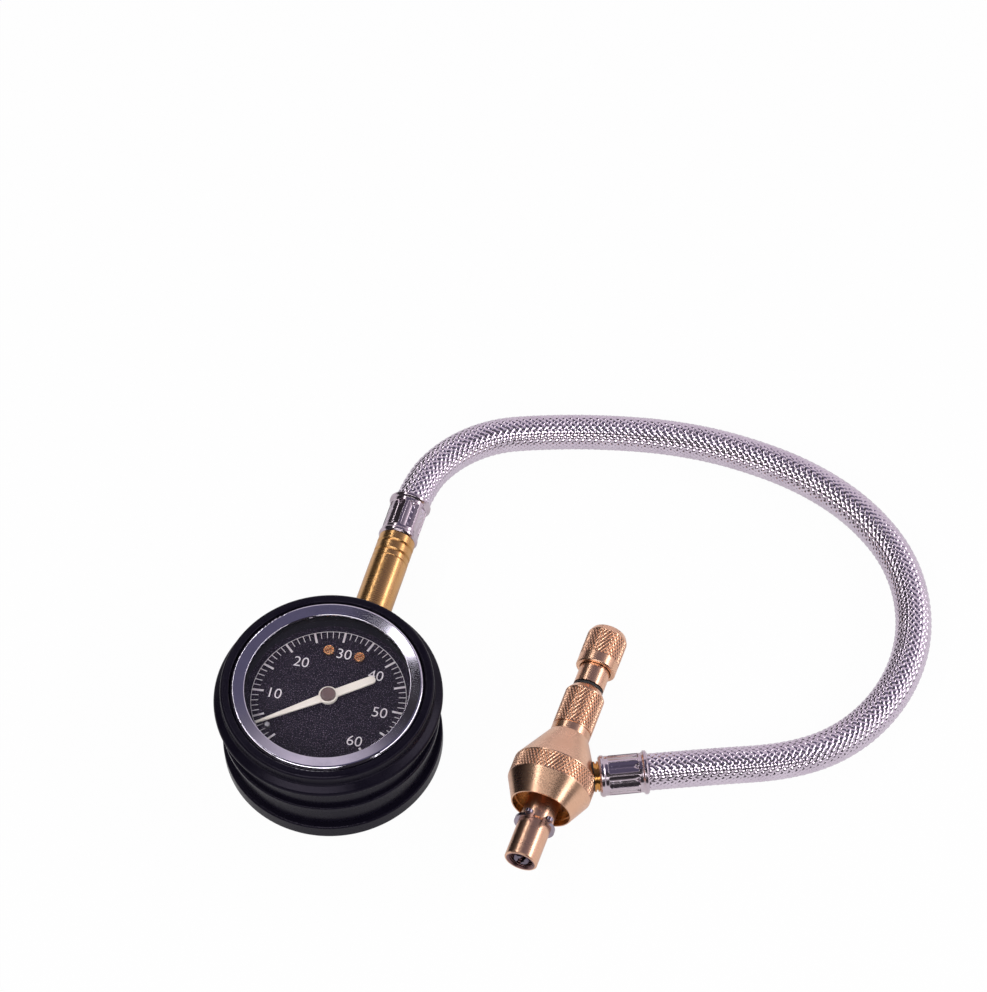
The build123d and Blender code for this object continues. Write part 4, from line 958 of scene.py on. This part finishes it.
# %% [markdown]
# ## Floor and light
#
# The object lies on a plain white table. Metal shows what is around it, so the surroundings
# matter more than the lamps. Round brass in the photograph carries one bright streak left of its
# top and a stronger one on its right, with darkness between them. So the room is dark, a long
# soft lamp hangs on each side, and the table itself fills the lower half of every tube. A wide
# lamp in front and a small one above light what is left.
#
# The table is lit like everything else, so it keeps the object's shadow. For rays from the
# camera nearly all of it is a plain white of strength 1, and for rays that left metal or glass
# about a third, so that a reflection of the table is darker close to the object.

# %%
floor_white, graph, shader = material("Floor white")
mottle = graph.add("ShaderNodeTexNoise", {"Scale": 3.0, "Detail": 2.0})
floor_tint = graph.ramp(mottle.outputs[0], (0.0, (0.90, 0.89, 0.90)), (1.0, (0.93, 0.92, 0.93)))
graph.link(floor_tint, shader.inputs["Base Color"])
shader.inputs["Roughness"].default_value = 0.9
shader.inputs["Specular IOR Level"].default_value = 0.0
path = graph.add("ShaderNodeLightPath").outputs
left_object = graph.math("MAXIMUM", path["Is Glossy Ray"], path["Is Transmission Ray"])
bounced = graph.math("MULTIPLY", left_object, 0.35)
straight = graph.math("MAXIMUM", graph.math("MULTIPLY", path["Is Camera Ray"], 0.97), bounced)
plain = graph.add("ShaderNodeEmission", {"Color": (1, 1, 1, 1), "Strength": 1.0})
blend = graph.add("ShaderNodeMixShader", {0: straight})
graph.link(shader.outputs[0], blend.inputs[1])
graph.link(plain.outputs[0], blend.inputs[2])
output = floor_white.node_tree.nodes["Material Output"]
graph.link(blend.outputs[0], output.inputs["Surface"])
bpy.ops.mesh.primitive_plane_add(size=6, location=(0, 0, -0.0002))
floor = bpy.context.object
floor.name = "floor"
floor.data.materials.append(floor_white)

# %% [markdown]
# The room is dark above. A pale backdrop stands behind the object and reaches about 45 degrees
# up, and it ends on the left, where the photograph's tubes show a dark edge. `height` compares a
# direction's rise with how far back it points. `side` fades the backdrop out to the left, and
# `front` fades it out towards the camera.

# %%
world = bpy.data.worlds.new("Studio")
bpy.context.scene.world = world
world.use_nodes = True
sky = Graph(world.node_tree)
background = world.node_tree.nodes["Background"]
towards = sky.add("ShaderNodeTexCoord").outputs["Generated"]
direction = sky.add("ShaderNodeSeparateXYZ", {0: towards})
backwards = sky.math("MAXIMUM", direction.outputs[1], 0.0)
height = sky.math("MULTIPLY_ADD", backwards, -0.95, direction.outputs[2])
pale = sky.ramp(
    sky.math("ADD", height, 0.5),
    (0.0, (0.80, 0.73, 0.80)),
    (0.60, (0.88, 0.80, 0.90)),
    (0.70, (0.22, 0.20, 0.25)),
    (0.80, (0.13, 0.12, 0.19)),
)
rightwards = sky.math("MULTIPLY_ADD", direction.outputs[1], 0.5, direction.outputs[0])
across = sky.math("MULTIPLY_ADD", rightwards, 0.5, 0.5)
side = sky.ramp(across, (0.44, (0, 0, 0)), (0.48, (1, 1, 1)))
depth = sky.math("MULTIPLY_ADD", direction.outputs[1], 0.5, 0.5)
front = sky.ramp(depth, (0.36, (0, 0, 0)), (0.52, (1, 1, 1)))
glow = sky.mix(sky.math("MULTIPLY", side, front), (0.03, 0.027, 0.032, 1), pale)
sky.link(glow, background.inputs["Color"])
background.inputs["Strength"].default_value = 1.0


# %% [markdown]
# The lamps are plain rectangles. Each is given by the brightness of its face, so a lamp can change
# size without its reflection turning brighter.


# %%
def softbox(name, place, target, size, brightness, colour):
    """A rectangular lamp that faces a target; brightness is the radiance of its face."""
    data = bpy.data.lights.new(name, "AREA")
    data.shape = "RECTANGLE"
    data.size, data.size_y = size
    data.energy = brightness * pi * size[0] * size[1]
    data.color = colour
    lamp = bpy.data.objects.new(name, data)
    lamp.location = place
    lamp.rotation_euler = (Vector(target) - Vector(place)).to_track_quat("-Z", "Y").to_euler()
    bpy.context.collection.objects.link(lamp)


softbox("Left", (-0.66, 0.2, 1.0), (0.06, 0.2, 0), (1.7, 0.11), 6.5, (1.0, 0.97, 0.98))
softbox("Right", (1.0, 0.1, 0.58), (0.06, 0.1, 0), (1.4, 0.22), 5.5, (1.0, 0.97, 0.98))
softbox("Front", (-0.1, -0.95, 1.0), (0.06, 0.05, 0), (1.2, 0.5), 5.6, (1.0, 0.97, 0.99))
softbox("Top", (-0.36, 0.48, 1.15), (0, 0, 0), (0.10, 0.10), 6.0, (0.97, 0.95, 1.0))
print(len(bpy.data.lights), "lamps")

# %% [markdown]
# ## Camera and colour
#
# A long lens, above and in front of the gauge. The plain colour transform keeps whites white.

# %%
camera_data = bpy.data.cameras.new("Camera")
camera_data.sensor_fit = "HORIZONTAL"
camera_data.sensor_width = 36
camera_data.lens = 135.0
camera_data.clip_start = 0.05
camera = bpy.data.objects.new("Camera", camera_data)
bpy.context.collection.objects.link(camera)
forward = Vector((-0.17770, 0.53110, -0.82847)).normalized()
right = Vector((0.95998, 0.27876, -0.02721)).normalized()
up = right.cross(forward)
turn = Matrix((right, up, -forward)).transposed().to_4x4()
camera.matrix_world = Matrix.Translation((0.217149, -0.494261, 0.916753)) @ turn
bpy.context.scene.camera = camera
bpy.context.scene.view_settings.view_transform = "Standard"
bpy.context.scene.view_settings.look = "None"
